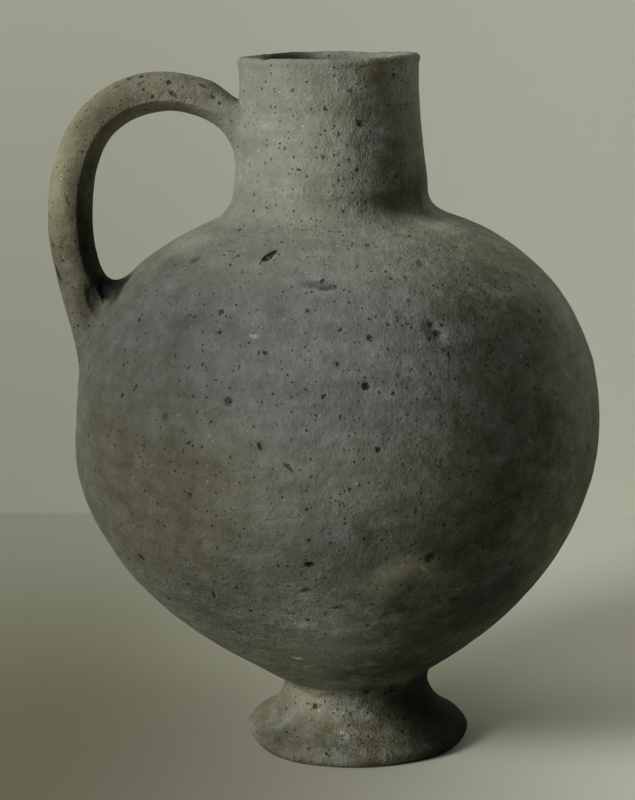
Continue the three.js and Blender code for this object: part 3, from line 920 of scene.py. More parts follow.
# %% The roots
def wall_places(line, way, across):
    """Points of a turned wall, some way along its line and some way round it.

    With each come the wall's directions along, round and out.
    """
    at, heading = along_line(line, way)
    turn = across / at[:, 0]
    cos, sin, zero = np.cos(turn), np.sin(turn), 0 * turn

    def turned_by(v):
        """A vector of the loop's plane, turned round the axis."""
        x, y, z = v.T
        return np.stack([x * cos + y * sin, y * cos - x * sin, z], -1)

    out = np.stack([heading[:, 1], -heading[:, 0]], -1)
    round_wall = np.stack([zero, 1 + zero, zero], -1)
    flat = (in_loop_plane(at), in_loop_plane(heading), round_wall, in_loop_plane(out))
    return [turned_by(v) for v in flat]


def root_rings(ring, heading, wall, middle, root, sense):
    """Rings from the strap's last ring to a footprint on the wall.

    Each angle has a Bezier curve that starts along the heading and ends along the wall, away
    from the footprint's middle.
    """
    c = np.cos(ring_angle)
    way = sense * c * np.where(c > 0, root.outer, root.inner)
    across = np.sin(ring_angle) * root.side
    at, along, round_wall, out = wall_places(wall, middle + way, across)
    at = at + out * unevenness(at)[:, None]
    landing = along * way[:, None] + round_wall * across[:, None]
    landing /= np.linalg.norm(landing, axis=1, keepdims=True)
    gap = np.linalg.norm(ring - at, axis=1)
    inward = ((1 - c) / 2) ** 3
    leave = ring + heading * (gap * (ROOT_LEAVE + root.deepen * inward))[:, None]
    land = at - landing * (gap * (ROOT_LAND + root.deepen * inward))[:, None]
    t = np.linspace(0, 1, ROOT_ROWS + 1)[1:, None, None]
    rings = (1 - t) ** 3 * ring + 3 * t * (1 - t) ** 2 * leave
    rings = rings + 3 * t**2 * (1 - t) * land + t**3 * at
    sunk = at - out * ROOT_SINK + landing * 0.5
    return np.concatenate([rings, sunk[None]])


neck_line = np.vstack([neck_curve, bead[:1]])
neck_middle = length_of(neck_curve[neck_curve[:, 1] < top_root_z]) - TOP_ROOT_MIDDLE_DROP
top_root = root_rings(strap[0], -strap_heading[0], neck_line, neck_middle, TOP_ROOT, 1)
low_middle = length_of(shoulder_curve) - LOW_ROOT_FROM_CORNER
low_root = root_rings(strap[-1], strap_heading[-1], shoulder_curve, low_middle, LOW_ROOT, -1)
handle_upright = np.concatenate([top_root[::-1], strap, low_root])
print("handle grid", handle_upright.shape)


# %% The hand's pressure on the handle
def outward(grid):
    """The outward unit normal of every point of a grid, from its neighbours' differences."""
    down = np.gradient(grid, axis=0)
    across = np.roll(grid, -1, axis=1) - np.roll(grid, 1, axis=1)
    normal = np.cross(across, down)
    return normal / np.maximum(np.linalg.norm(normal, axis=-1, keepdims=True), 1e-9)


rows_of_handle = np.arange(len(handle_upright))
near_wall = np.minimum(rows_of_handle, rows_of_handle[::-1]) / ROOT_ROWS
free = np.clip(near_wall - 0.25, 0, 1)[:, None]
lumps = 0.22 * swells(handle_upright, 26, seed=31) + 0.07 * swells(handle_upright, 9, seed=32)
handle_grid = settle(handle_upright + outward(handle_upright) * (lumps * free)[..., None])
print("handle spans", np.round(np.ptp(handle_grid.reshape(-1, 3), axis=0), 1), "mm")

# %% The pieces
bowl = make_piece("Bowl", "lower_body", bowl_grid, ends="caps")
shoulder = make_piece("Shoulder", "shoulder", shoulder_grid)
neck = make_piece("Neck", "neck", neck_grid)
neck_coil = make_piece("Neck_luting", "neck_luting_coil", neck_coil_grid)
foot = make_piece("Foot", "foot", foot_grid)
foot_coil = make_piece("Foot_luting", "foot_luting_coil", foot_coil_grid)
handle = make_piece("Handle", "handle", handle_grid, ends="caps")


# %% [markdown]
# ## Clay as a running sum
# The whole jug is one clay, so its finish must run over the joints without a step. Every effect
# below therefore works from the place on the jug, in millimetres, and never from the piece. The
# finish of a point is three numbers: stops, by which the tone is doubled or halved; coolness,
# from olive to blue-grey; and height, in millimetres, for the bump. Each effect is a node group
# that takes the three numbers so far, as one vector, and adds its own share to them.


# %% Helpers for node trees
def add(tree, kind, feeds=None, **settings):
    """Adds a shader node, sets its options, and links or sets each of its inputs."""
    node = tree.nodes.new("ShaderNode" + kind)
    for option, value in settings.items():
        setattr(node, option, value)
    for socket, value in (feeds or {}).items():
        if isinstance(value, bpy.types.NodeSocket):
            tree.links.new(value, node.inputs[socket])
        else:
            node.inputs[socket].default_value = value
    return node


def calc(tree, operation, *terms):
    """One step of arithmetic on numbers."""
    return add(tree, "Math", dict(enumerate(terms)), operation=operation).outputs[0]


def vectors(tree, operation, *terms):
    """One step of arithmetic on vectors."""
    return add(tree, "VectorMath", dict(enumerate(terms)), operation=operation).outputs[0]


def scaled(tree, vector, amount):
    """A vector times an amount."""
    feeds = {0: vector, "Scale": amount}
    return add(tree, "VectorMath", feeds, operation="SCALE").outputs[0]


def length(tree, vector):
    """The length of a vector."""
    return add(tree, "VectorMath", {0: vector}, operation="LENGTH").outputs["Value"]


def parts(tree, vector):
    """The three numbers of a vector."""
    return add(tree, "SeparateXYZ", {0: vector}).outputs


def ramp(tree, value, low, high, to_low=0.0, to_high=1.0):
    """A smooth step from to_low to to_high while the value goes from low to high."""
    feeds = {
        "Value": value,
        "From Min": low,
        "From Max": high,
        "To Min": to_low,
        "To Max": to_high,
    }
    return add(tree, "MapRange", feeds, interpolation_type="SMOOTHSTEP").outputs[0]


def mixed(tree, factor, low, high):
    """A colour between two others, low at factor 0 and high at factor 1."""
    feeds = {"Factor": factor, 6: low, 7: high}
    return add(tree, "Mix", feeds, data_type="RGBA").outputs[2]


def new_group(name, inputs, outputs):
    """A node group with named sockets: inputs by starting value, outputs by kind."""
    tree = bpy.data.node_groups.new(name, "ShaderNodeTree")
    for label, value in inputs.items():
        label = label.replace("_", " ")
        kind = {float: "Float", tuple: "Vector", list: "Color"}[type(value)]
        made = tree.interface.new_socket(label, in_out="INPUT", socket_type="NodeSocket" + kind)
        made.default_value = value
    for label, kind in outputs.items():
        tree.interface.new_socket(label, in_out="OUTPUT", socket_type="NodeSocket" + kind)
    ends = tree.nodes.new("NodeGroupInput"), tree.nodes.new("NodeGroupOutput")
    return tree, ends[0].outputs, ends[1].inputs


ORIGIN = (0.0, 0.0, 0.0)


def new_effect(name, **inputs):
    """A node group from a place, the finish before and a change to the finish after."""
    finish = {"Place": ORIGIN, "Before": ORIGIN, "Change": ORIGIN}
    return new_group(name, {**finish, **inputs}, {"After": "Vector"})


def use(tree, group, **feeds):
    """Places a node group in a tree and feeds its inputs by name."""
    node = tree.nodes.new("ShaderNodeGroup")
    node.node_tree = group
    for label, value in feeds.items():
        socket = node.inputs[label.replace("_", " ")]
        if isinstance(value, bpy.types.NodeSocket):
            tree.links.new(value, socket)
        else:
            socket.default_value = value
    return node.outputs


def shares(tree, amount, change, before, after):
    """Feeds after with before + amount x change."""
    tree.links.new(vectors(tree, "ADD", before, scaled(tree, change, amount)), after)


# %% A mottle, for patches, sand and wiping lines
def mottle_group():
    """Noise around zero: contrast x (2 noise - 1), with grains of a size.

    A stretch below 1 draws the grains out along that axis.
    """
    tree, given, result = new_effect(
        "Mottle",
        Size=1.0,
        Stretch=(1.0, 1.0, 1.0),
        Detail=2.0,
        Fine_share=0.5,
        Contrast=2.0,
    )
    noise = add(
        tree,
        "TexNoise",
        {
            "Vector": vectors(tree, "MULTIPLY", given["Place"], given["Stretch"]),
            "Scale": calc(tree, "DIVIDE", 1.0, given["Size"]),
            "Detail": given["Detail"],
            "Roughness": given["Fine share"],
        },
    )
    around_zero = calc(tree, "MULTIPLY_ADD", noise.outputs[0], 2.0, -1.0)
    amount = calc(tree, "MULTIPLY", around_zero, given["Contrast"])
    shares(tree, amount, given["Change"], given["Before"], result["After"])
    return tree


MOTTLE = mottle_group()


# %% Pinholes and grits
def pinhole_group():
    """Spots at the points of a Voronoi pattern, one for each cell that wins the draw.

    A spot reaches from its point as far as radius x (0.3 + 0.7 x chance squared), a small one
    is fainter, and the jitter makes its outline ragged.
    """
    tree, given, result = new_effect(
        "Pinholes", Jitter=ORIGIN, Spacing=3.0, Radius=0.6, Share=0.5
    )
    shift = scaled(tree, given["Jitter"], given["Radius"])
    ragged = vectors(tree, "MULTIPLY_ADD", shift, (1.8,) * 3, given["Place"])
    frequency = calc(tree, "DIVIDE", 1.0, given["Spacing"])
    cells = add(tree, "TexVoronoi", {"Vector": ragged, "Scale": frequency})
    away = calc(tree, "MULTIPLY", cells.outputs["Distance"], given["Spacing"])
    draws = add(tree, "SeparateColor", {0: cells.outputs["Color"]}).outputs
    wins = calc(tree, "LESS_THAN", draws[1], given["Share"])
    chance = calc(tree, "MULTIPLY", draws[0], draws[0])
    size = calc(tree, "MULTIPLY_ADD", chance, 0.7, 0.3)
    reach = calc(tree, "MULTIPLY", given["Radius"], size)
    spot = ramp(tree, away, reach, calc(tree, "MULTIPLY", reach, 0.45))
    faint = calc(tree, "MULTIPLY_ADD", draws[0], 0.7, 0.3)
    amount = calc(tree, "MULTIPLY", calc(tree, "MULTIPLY", spot, wins), faint)
    shares(tree, amount, given["Change"], given["Before"], result["After"])
    return tree


PINHOLES = pinhole_group()


# %% One soft cloud
def cloud_group():
    """A mask that falls in a smooth step from 1 at the centre to 0 on an ellipsoid.

    The step runs over the length of (place minus centre) divided by the reach.
    """
    tree, given, result = new_effect("Cloud", Centre=ORIGIN, Reach=(1.0, 1.0, 1.0))
    away = vectors(tree, "SUBTRACT", given["Place"], given["Centre"])
    distance = length(tree, vectors(tree, "DIVIDE", away, given["Reach"]))
    mask = ramp(tree, distance, 1.0, 0.0)
    shares(tree, mask, given["Change"], given["Before"], result["After"])
    return tree


CLOUD = cloud_group()


# %% One placed mark
def mark_group():
    """A mask that is 1 in a drawn-out spot and 0 outside it.

    The step from its centre is shortened along the mark by Along, whose length is 1 minus
    width / length, and the length of what is left runs through a smooth step over the half
    width. The outline follows the grain that is there already, by a quarter of a millimetre
    for each unit of it.
    """
    tree, given, result = new_effect(
        "Placed mark", Centre=ORIGIN, Direction=(1.0, 0.0, 0.0), Along=ORIGIN, Half_width=1.0
    )
    place = vectors(tree, "MULTIPLY_ADD", given["Before"], (0.25,) * 3, given["Place"])
    away = vectors(tree, "SUBTRACT", place, given["Centre"])
    run = add(tree, "VectorMath", {0: away, 1: given["Direction"]}, operation="DOT_PRODUCT")
    back = scaled(tree, given["Along"], run.outputs["Value"])
    distance = length(tree, vectors(tree, "SUBTRACT", away, back))
    core = calc(tree, "MULTIPLY", given["Half width"], 0.3)
    inside = ramp(tree, distance, given["Half width"], core)
    shares(tree, inside, given["Change"], given["Before"], result["After"])
    return tree


MARK = mark_group()


# %% Colour from the finish
def colour_group():
    """Colour = (olive tint mixed with blue-grey tint by coolness) x 2 to the power of stops.

    Where the finish is darker, in fired clay and in painted shade alike, the clay is a
    little smoother.
    """
    tree, given, result = new_group(
        "Clay colour",
        {
            "Finish": ORIGIN,
            "Olive": [0.31, 0.3, 0.185, 1.0],
            "Blue grey": [0.288, 0.3, 0.285, 1.0],
        },
        {"Colour": "Color", "Roughness": "Float"},
    )
    stops, coolness, _ = parts(tree, given["Finish"])
    tint = mixed(tree, coolness, given["Olive"], given["Blue grey"])
    gain = calc(tree, "POWER", 2.0, stops)
    tree.links.new(scaled(tree, tint, gain), result["Colour"])
    tree.links.new(ramp(tree, stops, -2.5, 0.3, 0.82, 0.95), result["Roughness"])
    return tree


COLOUR = colour_group()
print("node groups", [group.name for group in bpy.data.node_groups])

# %% [markdown]
# ## Fire clouds, painted shade and painted light
# In the kiln, smoke and flame left broad soft clouds of tone: a pale neck and shoulder, a dark
# olive flank on the left, a blue-grey front, and a dark foot. Other clouds are painted shade: the
# dark right side of the belly, the shaded right side and foot of the neck, the shadow on the
# foot's right side, the inside of the handle's loop, bend and crook, and the inside of the mouth.
# A few are painted light: the pale band along the right edge and the lit strip of shoulder beside
# the neck's foot. Each is a mark with wide soft edges. Those given by a pixel sit where the
# photograph shows them. The two bands go all round, because their centre lies on the axis.

# %% The clouds
Cloud = namedtuple("Cloud", "pixel reach stops coolness", defaults=(0,))
CLOUDS = {
    "dark left flank": Cloud((130, 420), (95, 110, 105), -1.0, -0.08),
    "left shoulder": Cloud((120, 310), (60, 70, 45), -0.4, 0.1),
    "blue front": Cloud((300, 350), (125, 120, 50), 0.0, 0.4),
    "blue middle": Cloud((310, 450), (75, 80, 60), 0.05, 0.15),
    "pale left of centre": Cloud((250, 450), (32, 34, 55), 0.35),
    "olive left": Cloud((160, 500), (70, 90, 60), -0.05, -0.35),
    "olive front": Cloud((352, 480), (26, 28, 34), 0.1, -0.2),
    # painted shade: the belly's right flank, turned away from the key lamp
    "dark right flank": Cloud((525, 490), (62, 100, 105), -1.15, -0.45),
    "brown right shoulder": Cloud((490, 300), (42, 60, 30), -0.35, -0.25),
    "pale right of centre": Cloud((440, 420), (30, 36, 62), 0.3, 0.1),
    # painted light: the pale band along the right edge of the shoulder
    "right shoulder edge": Cloud((535, 278), (45, 80, 34), 0.6),
    # painted light: the pale band along the right edge of the belly
    "right edge": Cloud((580, 365), (22, 60, 50), 0.7, 0.15),
    # painted shade: the lower right of the belly
    "dark low right": Cloud((455, 628), (52, 75, 42), -2.2, -0.2),
    "dark low left": Cloud((225, 605), (44, 50, 30), -0.5),
    "pale patch low": Cloud((400, 577), (16, 18, 12), 1.1, -0.1),
    "dark about the patch": Cloud((425, 555), (34, 34, 26), -0.5, -0.15),
    "pale centre": Cloud((300, 500), (40, 30, 34), 0.15, 0.1),
    "pale low front": Cloud((315, 625), (45, 50, 30), 0.5, 0.1),
    # painted shade: the neck's right side, turned away from the key lamp
    "dark neck side": Cloud((402, 170), (22, 34, 40), -0.8, -0.3),
    # painted light: the lit strip of shoulder beside the neck's foot on the right
    "neck foot right": Cloud((438, 224), (28, 26, 9), 0.75),
    "dark under rim": Cloud((372, 76), (18, 20, 12), -0.2, -0.2),
    "shadow over the foot": Cloud((405, 668), (36, 40, 14), -2.2, -0.3),
    "pale foot": Cloud((320, 693), (24, 22, 19), 0.55),
    # painted shadow: the foot's right side, under the belly and turned away from the key lamp
    "dark foot side": Cloud((457, 715), (38, 66, 45), -6.0, -1.8),
    "warm handle": Cloud((75, 180), (55, 50, 75), -0.1, -0.55),
    "warm bend": Cloud((165, 85), (40, 40, 24), -0.2, -0.3),
    "smudge left": Cloud((185, 326), (13, 12, 11), -0.35),
    "smudge centre": Cloud((281, 312), (8, 8, 7), -0.4),
    "dark strap low": Cloud((64, 262), (18, 40, 26), -0.6, -0.1),
    "dark bend": Cloud((128, 92), (18, 30, 12), -0.4),
    # painted shade: the inner face of the handle's lower limb
    "painted shade in the crook": Cloud((90, 240), (8.5, 40, 42), -2.6, -0.8),
    "under the handle": Cloud((188, 241), (24, 30, 11), 0.5),
    # painted shade: the lower right of the belly, right of centre
    "dark right of centre": Cloud((488, 532), (28, 44, 42), -1.15),
    "right flank": Cloud((540, 365), (24, 30, 18), 0.45),
    # painted shade: the upper part of the neck's shaded right side
    "dark neck side above": Cloud((375, 125), (15, 20, 24), -0.35),
    "foot rim left": Cloud((272, 738), (16, 16, 12), -0.9),
    "lit foot centre": Cloud((342, 733), (16, 16, 12), -0.65, -0.5),
    "grey low front": Cloud((290, 555), (40, 40, 26), 0.1, 0.3),
    "olive right edge": Cloud((560, 450), (40, 50, 40), 0.05, 0.2),
    "dark left shoulder": Cloud((150, 300), (26, 30, 18), 0.0, 0.1),
    "olive shoulder": Cloud((440, 250), (95, 80, 22), 0.3, -0.05),
    "dark band right": Cloud((500, 335), (52, 50, 15), -0.25, 0.2),
    # painted shadow of the belly on the right of the foot's stem
    "dark foot stem": Cloud((412, 689), (40, 56, 14), -1.9, -0.5),
    "dark low middle": Cloud((345, 560), (34, 30, 26), -0.35),
    # painted shade: the crook under the handle's lower root
    "painted shade in the bend": Cloud((115, 285), (14, 18, 7), -5.2, -0.4),
    "strap root": Cloud((80, 285), (11, 30, 18), 0.6),
    "pale neck": Cloud((312, 150), (30, 30, 50), 0.3),
    # painted shade: the foot of the neck on its shaded right side
    "dark neck foot": Cloud((410, 190), (19, 24, 9), -0.9),
    "grey right": Cloud((520, 425), (50, 60, 38), -0.1, 0.25),
    # painted shade: the lower right edge of the belly
    "dark right edge low": Cloud((512, 590), (34, 50, 26), -0.9),
    # painted shade: the inner face of the handle in its loop
    "painted shade in the loop": Cloud((92, 150), (12, 34, 26), -0.6, -0.3),
    # painted shade: the inner face of the handle near the top of its bend
    "painted shade, top of the bend": Cloud((116, 114), (14, 30, 11), -0.9, -0.2),
    "foot edge front": Cloud((335, 755), (30, 24, 7), -0.4),
}
ROUGH = {
    "low front": Cloud((335, 615), (36, 30, 20), 2.0),
    "pitted patch": Cloud((438, 332), (13, 16, 11), 0.6),
    "right shoulder": Cloud((490, 292), (30, 40, 15), 1.0),
    "neck side": Cloud((378, 120), (18, 22, 44), 1.5),
    "under the rim": Cloud((362, 74), (22, 20, 9), 1.0),
    "foot front": Cloud((386, 720), (28, 28, 22), 1.6),
    "crown of the handle": Cloud((155, 88), (24, 30, 15), 0.8),
}
# painted shade inside the mouth, where the near wall shades the far one: (centre, reach, change)
PAINTED_SHADE_IN_THE_MOUTH = (
    ((-21.0, 24.0, 244.0), (30.0, 14.0, 26.0), (-4.5, 0.0, 0.0)),
    ((6.0, 26.0, 248.0), (10.0, 14.0, 12.0), (-1.8, 0.0, 0.0)),
)
Band = namedtuple("Band", "height reach stops coolness")
BANDS = {
    "belly": Band(112, 125, -0.65, 0.0),
    "foot": Band(0, 40, -0.5, -0.28),
}
BASE_FINISH = (-0.2, 0.52, 0.0)
ALL_ROUND = 900.0


# %% [markdown]
# ## Sand, pores and wiping lines
# Close up, the clay is sandy at the neck and foot and smoother on the belly, where a wet hand
# closed the surface and left faint level lines. Pores and burnt-out specks are scattered all
# over it; the dark of the pores is partly painted shade inside them. The amounts below are
# (stops, coolness, height).

# %% Layers of grain
Mottling = namedtuple("Mottling", "size stretch detail fine_share contrast change")
PATCHES = {
    "broad patches": Mottling(40, (1, 1, 1), 2, 0.5, 2.2, (0.1, 0.1, 0)),
    "olive and grey": Mottling(12, (1, 1, 1.2), 4, 0.5, 2.8, (0.17, 0.11, 0)),
    "blotches": Mottling(4.5, (1, 1, 1), 4, 0.85, 3.0, (0.2, 0.03, 0)),
}
WIPING = Mottling(3.0, (0.09, 0.09, 1), 2, 0.5, 2.0, (0.14, 0, 0))
GRAIN = Mottling(6.0, (1, 1, 1), 4, 0.6, 2.6, (0.15, 0.03, 0.22))
SAND = Mottling(0.9, (1, 1, 1), 2, 0.6, 2.1, (0.09, 0, 0.075))
Pores = namedtuple("Pores", "spacing radius share change")
# dark pores: partly painted shade inside the hollows, partly dark specks of the clay
PORES = {
    "specks": Pores(1.6, 0.62, 0.78, (-1.9, 0, -0.28)),
    "pits": Pores(5.0, 1.3, 0.42, (-2.2, 0, -0.6)),
}
CLUSTER_SIZE = 7.0
DRIFT_SIZE = 24  # the clouds' outlines wander in waves of this size
DRIFT = 20.0  # by up to half of this each way
MOST_WORN = 3.2  # the roughness stops growing here

# %% Smooth steps, as (from, to, amount at the start, amount at the end)
WORN_ACROSS = (-40, 40, 0.75, 1.6)
WORN_DOWNWARDS = (90, 40, 1.0, 1.6)
# more blotches where the finish is darker, in smoked clay and in painted shade alike
DARKER_TONE = (0.0, -2.5, 0.5, 1.9)
SANDY_ABOVE = (160, 205, 0.6, 1.0)
SANDY_BELOW = (95, 22, 0.6, 1.1)
ROUGH_GRAIN = (1.5, MOST_WORN, 1.0, 1.3)
ROUGH_SAND = (1.4, 3.0, 1.0, 1.9)
CROWDED = (0.36, 0.58, 0.12, 1.0)
GRITS = Pores(2.0, 0.6, 0.4, (0.85, 0, 0))


# %% [markdown]
# ## The clays
# One function lays the effects in the same order for every piece: clouds, grain, pores and then
# the marks that lie on that piece. Sand grows stronger up the shoulder and down the bowl.

# %% Places for the clouds
def cloud_place(cloud):
    """The centre of a cloud: where its pixel meets the clay, or on the axis at its height."""
    if isinstance(cloud, Band):
        return (AXIS_X, 0.0, cloud.height)
    return tuple(look_at_clay(cloud.pixel)[0])


cloud_centres = {name: cloud_place(c) for name, c in {**CLOUDS, **BANDS, **ROUGH}.items()}


def jitter(tree, place, size, detail):
    """A vector of noise around zero, up to half a unit each way."""
    noise = add(tree, "TexNoise", {"Vector": place, "Scale": 1 / size, "Detail": detail})
    return vectors(tree, "SUBTRACT", noise.outputs["Color"], (0.5, 0.5, 0.5))


def clouded(tree, place, before, centre, reach, change):
    """The finish after one cloud."""
    return use(
        tree, CLOUD, Place=place, Before=before, Centre=centre, Reach=reach, Change=change
    )["After"]


def grain(tree, place, before, layer, strength=1.0):
    """One layer of mottling, times a strength, on top of what is there."""
    return use(
        tree,
        MOTTLE,
        Place=place,
        Before=before,
        Size=float(layer.size),
        Stretch=layer.stretch,
        Detail=float(layer.detail),
        Fine_share=layer.fine_share,
        Contrast=layer.contrast,
        Change=scaled(tree, layer.change, strength),
    )["After"]


def wear(tree, place, amount):
    """How rough the clay is: more to the right, down the bowl and in the rough places."""
    across, _, height = parts(tree, place)
    sideways = ramp(tree, across, *WORN_ACROSS)
    downwards = ramp(tree, height, *WORN_DOWNWARDS)
    roughness = (1.0, 0.0, 0.0)
    for name, cloud in ROUGH.items():
        change = (cloud.stops, 0, 0)
        roughness = clouded(tree, place, roughness, cloud_centres[name], cloud.reach, change)
    here = parts(tree, roughness)[0]
    everywhere = calc(tree, "MULTIPLY", calc(tree, "MULTIPLY", sideways, downwards), amount)
    return calc(tree, "MINIMUM", calc(tree, "MULTIPLY", everywhere, here), MOST_WORN)


# %% The tone: what has no height
def clay_tone(tree, place, worn):
    """The clouds at a drifting place, the painted shade inside the mouth, the patches and
    the pale grits.
    """
    drift = jitter(tree, place, DRIFT_SIZE, 3.0)
    drifting = vectors(tree, "MULTIPLY_ADD", drift, (DRIFT,) * 3, place)
    tone = BASE_FINISH
    for name, cloud in {**CLOUDS, **BANDS}.items():
        wide = (ALL_ROUND, ALL_ROUND, cloud.reach) if isinstance(cloud, Band) else cloud.reach
        change = (cloud.stops, cloud.coolness, 0.0)
        tone = clouded(tree, drifting, tone, cloud_centres[name], wide, change)
    backwards = parts(tree, add(tree, "TexCoord").outputs["Normal"])[1]
    inside = ramp(tree, backwards, 0.2, -0.2)  # the neck's back wall faces forwards inside
    for centre, reach, change in PAINTED_SHADE_IN_THE_MOUTH:
        tone = clouded(tree, place, tone, centre, reach, scaled(tree, change, inside))
    # the tone read here includes the painted shade of the clouds
    darkened = ramp(tree, parts(tree, tone)[0], *DARKER_TONE)
    blotchy = calc(tree, "MINIMUM", calc(tree, "MULTIPLY", darkened, worn), MOST_WORN)
    for layer in PATCHES.values():
        tone = grain(tree, place, tone, layer, blotchy)
    tone = grain(tree, place, tone, WIPING)
    return use(
        tree,
        PINHOLES,
        Place=place,
        Before=tone,
        Spacing=GRITS.spacing,
        Radius=GRITS.radius,
        Share=calc(tree, "MULTIPLY", worn, GRITS.share),
        Change=GRITS.change,
    )["After"]


# %% The relief: what has a height
def clay_relief(tree, place, worn, nodes):
    """The grain, then the pores, then the marks that lie on the piece's nodes."""
    height = parts(tree, place)[2]
    above, below = ramp(tree, height, *SANDY_ABOVE), ramp(tree, height, *SANDY_BELOW)
    sandy = calc(tree, "MAXIMUM", above, below)
    relief = grain(tree, place, ORIGIN, GRAIN, ramp(tree, worn, *ROUGH_GRAIN))
    coarse = calc(tree, "MULTIPLY", sandy, ramp(tree, worn, *ROUGH_SAND))
    relief = grain(tree, place, relief, SAND, coarse)
    ragged = jitter(tree, place, 0.9, 1.0)
    feeds = {"Vector": place, "Scale": 1 / CLUSTER_SIZE, "Detail": 1.0}
    gathered = ramp(tree, add(tree, "TexNoise", feeds).outputs[0], *CROWDED)
    crowded = calc(tree, "MAXIMUM", gathered, calc(tree, "MULTIPLY", sandy, 0.5))
    crowded = calc(tree, "MULTIPLY", crowded, worn)
    for layer in PORES.values():
        relief = use(
            tree,
            PINHOLES,
            Place=place,
            Jitter=ragged,
            Before=relief,
            Spacing=layer.spacing,
            Radius=layer.radius,
            Share=calc(tree, "MULTIPLY", crowded, layer.share),
            Change=layer.change,
        )["After"]
    crumbled = vectors(tree, "MULTIPLY_ADD", ragged, (1.3,) * 3, place)
    for mark in placed_marks.values():
        if mark.node not in nodes:
            continue
        direction = mark.axes[:, 0]
        relief = use(
            tree,
            MARK,
            Place=crumbled,
            Before=relief,
            Centre=tuple(mark.centre),
            Direction=tuple(direction),
            Along=tuple(direction * (1 - mark.half[1] / mark.half[0])),
            Half_width=float(mark.half[1] * 1.2),
            Change=mark.change,
        )["After"]
    return relief


# %% A fired clay
def fired_clay(name, nodes, roughened=1.0):
    """Tone and relief together give colour and roughness, and the relief alone the bump."""
    made = bpy.data.materials.new(name)
    made.use_nodes = True
    tree = made.node_tree
    shader = tree.nodes["Principled BSDF"]
    coordinates = add(tree, "TexCoord").outputs["Object"]
    place = scaled(tree, coordinates, 1 / MM)
    worn = wear(tree, place, roughened)
    tone = clay_tone(tree, place, worn)
    relief = clay_relief(tree, place, worn, nodes)
    clay = use(tree, COLOUR, Finish=vectors(tree, "ADD", tone, relief))
    bump = add(tree, "Bump", {"Height": parts(tree, relief)[2], "Distance": MM})
    tree.links.new(clay["Colour"], shader.inputs["Base Color"])
    tree.links.new(clay["Roughness"], shader.inputs["Roughness"])
    tree.links.new(bump.outputs["Normal"], shader.inputs["Normal"])
    shader.inputs["Specular IOR Level"].default_value = 0.2
    print(f"{name}: {len(tree.nodes)} nodes")
    return made


HANDLE_WEAR = 1.5  # a handle is rubbed more than the rest
for pieces, clay in (
    # the bowl's clay is smoked, and carries painted shade on its right and lower right
    ([bowl], fired_clay("Smoked clay of the bowl", {"lower_body"})),
    ([shoulder], fired_clay("Clay of the shoulder", {"shoulder"})),
    ([neck, neck_coil], fired_clay("Sandy clay of the neck", {"neck", "neck_luting_coil"})),
    ([foot, foot_coil], fired_clay("Clay of the foot", {"foot", "foot_luting_coil"})),
    ([handle], fired_clay("Clay of the handle", {"handle"}, roughened=HANDLE_WEAR)),
):
    for piece in pieces:
        piece.data.materials.append(clay)


# %% [markdown]
# ## Floor, wall and light
# The jug stands on a pale floor with a pale wall close behind it, lit from the left by one broad
# lamp a little above its belly. A weak lamp behind on the right draws the far edge out of the
# dark, and a weak one overhead opens the shadow on the floor. From behind, the camera looks
# through the wall, and where it looks past the paper it sees the wall's own tone.

# %% Floor and wall
WALL_BEHIND = 0.345
WALL_HEIGHT = 2.2
FLOOR_BEFORE = 1.6
HALF_ACROSS = 2.5
# painted shade and light: floor and wall grow paler from left to right, the wall's left paler
# upwards
FLOOR_TONE = ((0.21, 0.202, 0.138, 1), (0.86, 0.86, 0.73, 1))
WALL_TONE = ((0.435, 0.445, 0.36, 1), (0.72, 0.73, 0.62, 1))
WALL_TOP_LEFT = (0.56, 0.57, 0.47, 1)


def backdrop():
    """One sheet folded once: a floor and an upright wall."""
    path = np.array([[-FLOOR_BEFORE, 0], [0, 0], [WALL_BEHIND, 0], [WALL_BEHIND, WALL_HEIGHT]])
    sides = np.array([-HALF_ACROSS, HALF_ACROSS])
    spread = np.broadcast_to(sides[None, :], (len(path), 2))
    depth, height = (np.broadcast_to(path[:, k, None], (len(path), 2)) for k in (0, 1))
    grid = np.stack([spread, depth, height], -1)
    row = np.arange(len(path) - 1)
    faces = np.stack([2 * row, 2 * row + 1, 2 * row + 3, 2 * row + 2], -1)
    mesh = bpy.data.meshes.new("Backdrop")
    mesh.from_pydata(grid.reshape(-1, 3).tolist(), [], faces.tolist())
    sheet = bpy.data.objects.new("Backdrop", mesh)
    bpy.context.scene.collection.objects.link(sheet)
    return sheet


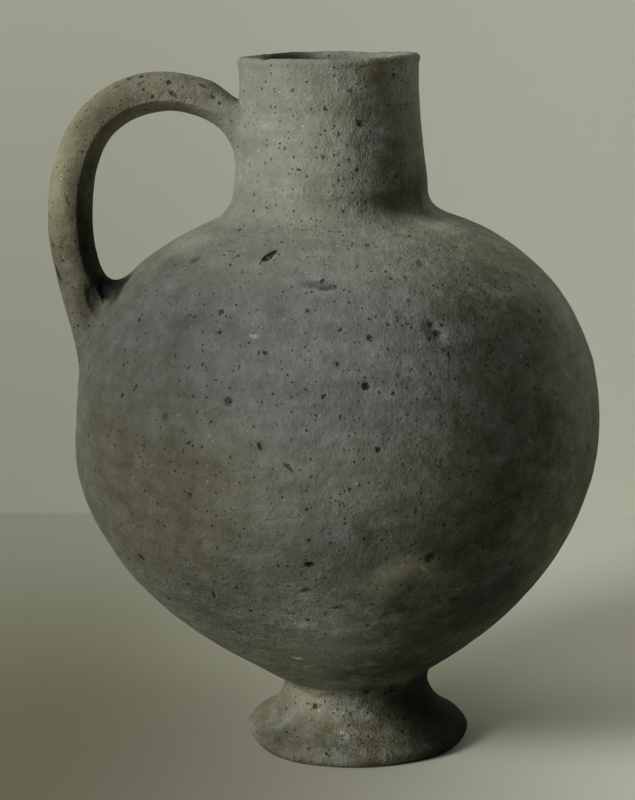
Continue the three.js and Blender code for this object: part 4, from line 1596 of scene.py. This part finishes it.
def paper():
    """A matt paper whose tone rises from left to right, darker where it lies. The rise from
    left to right and the paling of the wall's left side upwards are painted shade and light.
    """
    made = bpy.data.materials.new("paper")
    made.use_nodes = True
    tree = made.node_tree
    shader = tree.nodes["Principled BSDF"]
    shader.inputs["Roughness"].default_value = 1.0
    shader.inputs["Specular IOR Level"].default_value = 0.1
    across, depth, height = parts(tree, add(tree, "TexCoord").outputs["Object"])
    # painted shade and light: the tone rises from left to right, and the wall's left pales upwards
    lying = mixed(tree, ramp(tree, across, -0.12, 0.16), *FLOOR_TONE)
    left = mixed(tree, ramp(tree, height, 0.0, 0.42), WALL_TONE[0], WALL_TOP_LEFT)
    upright = mixed(tree, ramp(tree, across, -0.2, 0.2), left, WALL_TONE[1])
    blended = mixed(tree, ramp(tree, depth, 0.0, WALL_BEHIND * 1.3), lying, upright)
    tone = mixed(tree, ramp(tree, height, 0.0, 0.002), blended, upright)
    tree.links.new(tone, shader.inputs["Base Color"])
    from_behind = calc(
        tree,
        "MULTIPLY",
        add(tree, "NewGeometry").outputs["Backfacing"],
        add(tree, "LightPath").outputs["Is Camera Ray"],
    )
    clear = add(tree, "BsdfTransparent").outputs[0]
    seen = add(tree, "MixShader", {0: from_behind, 1: shader.outputs[0], 2: clear})
    tree.links.new(seen.outputs[0], tree.nodes["Material Output"].inputs["Surface"])
    return made


sheet = backdrop()
sheet.data.materials.append(paper())
print("paper", [round(v, 2) for v in sheet.dimensions], "m")


# %% Lamps
def lamp(name, heading, height, distance, size, power):
    """A square soft lamp that faces the belly, heading and height in degrees from the jug."""
    light = bpy.data.lights.new(name, "AREA")
    light.shape = "SQUARE"
    light.size = size
    light.energy = power
    made = bpy.data.objects.new(name, light)
    a, e = math.radians(heading), math.radians(height)
    away = Vector((math.sin(a) * math.cos(e), -math.cos(a) * math.cos(e), math.sin(e)))
    made.location = Vector((0, 0, BELLY_Z * MM)) + away * distance
    made.rotation_euler = away.to_track_quat("Z", "Y").to_euler()
    bpy.context.scene.collection.objects.link(made)


lamp("Key", heading=-58, height=24, distance=1.7, size=0.6, power=24)
lamp("Edge", heading=115, height=38, distance=0.9, size=0.5, power=0.9)
lamp("Top", heading=180, height=75, distance=1.2, size=1.2, power=2.2)


# %% Surroundings
FAINT = ((0.5, 0.5, 0.5, 1), 0.065)  # colour and strength of the light from all round
PAST_THE_PAPER = ((0.3, 0.305, 0.25, 1), 1.0)  # and of what only the camera sees


def surroundings():
    """A faint grey lights the jug from all round. The camera sees the wall's tone instead."""
    world = bpy.data.worlds.new("World")
    world.use_nodes = True
    tree = world.node_tree
    faint = tree.nodes["Background"]
    faint.inputs["Color"].default_value, faint.inputs["Strength"].default_value = FAINT
    shown = add(tree, "Background", dict(zip(("Color", "Strength"), PAST_THE_PAPER)))
    camera_ray = add(tree, "LightPath").outputs["Is Camera Ray"]
    both = add(tree, "MixShader", {0: camera_ray, 1: faint.outputs[0], 2: shown.outputs[0]})
    tree.links.new(both.outputs[0], tree.nodes["World Output"].inputs["Surface"])
    return world


bpy.context.scene.world = surroundings()
bpy.context.scene.view_settings.view_transform = "Standard"
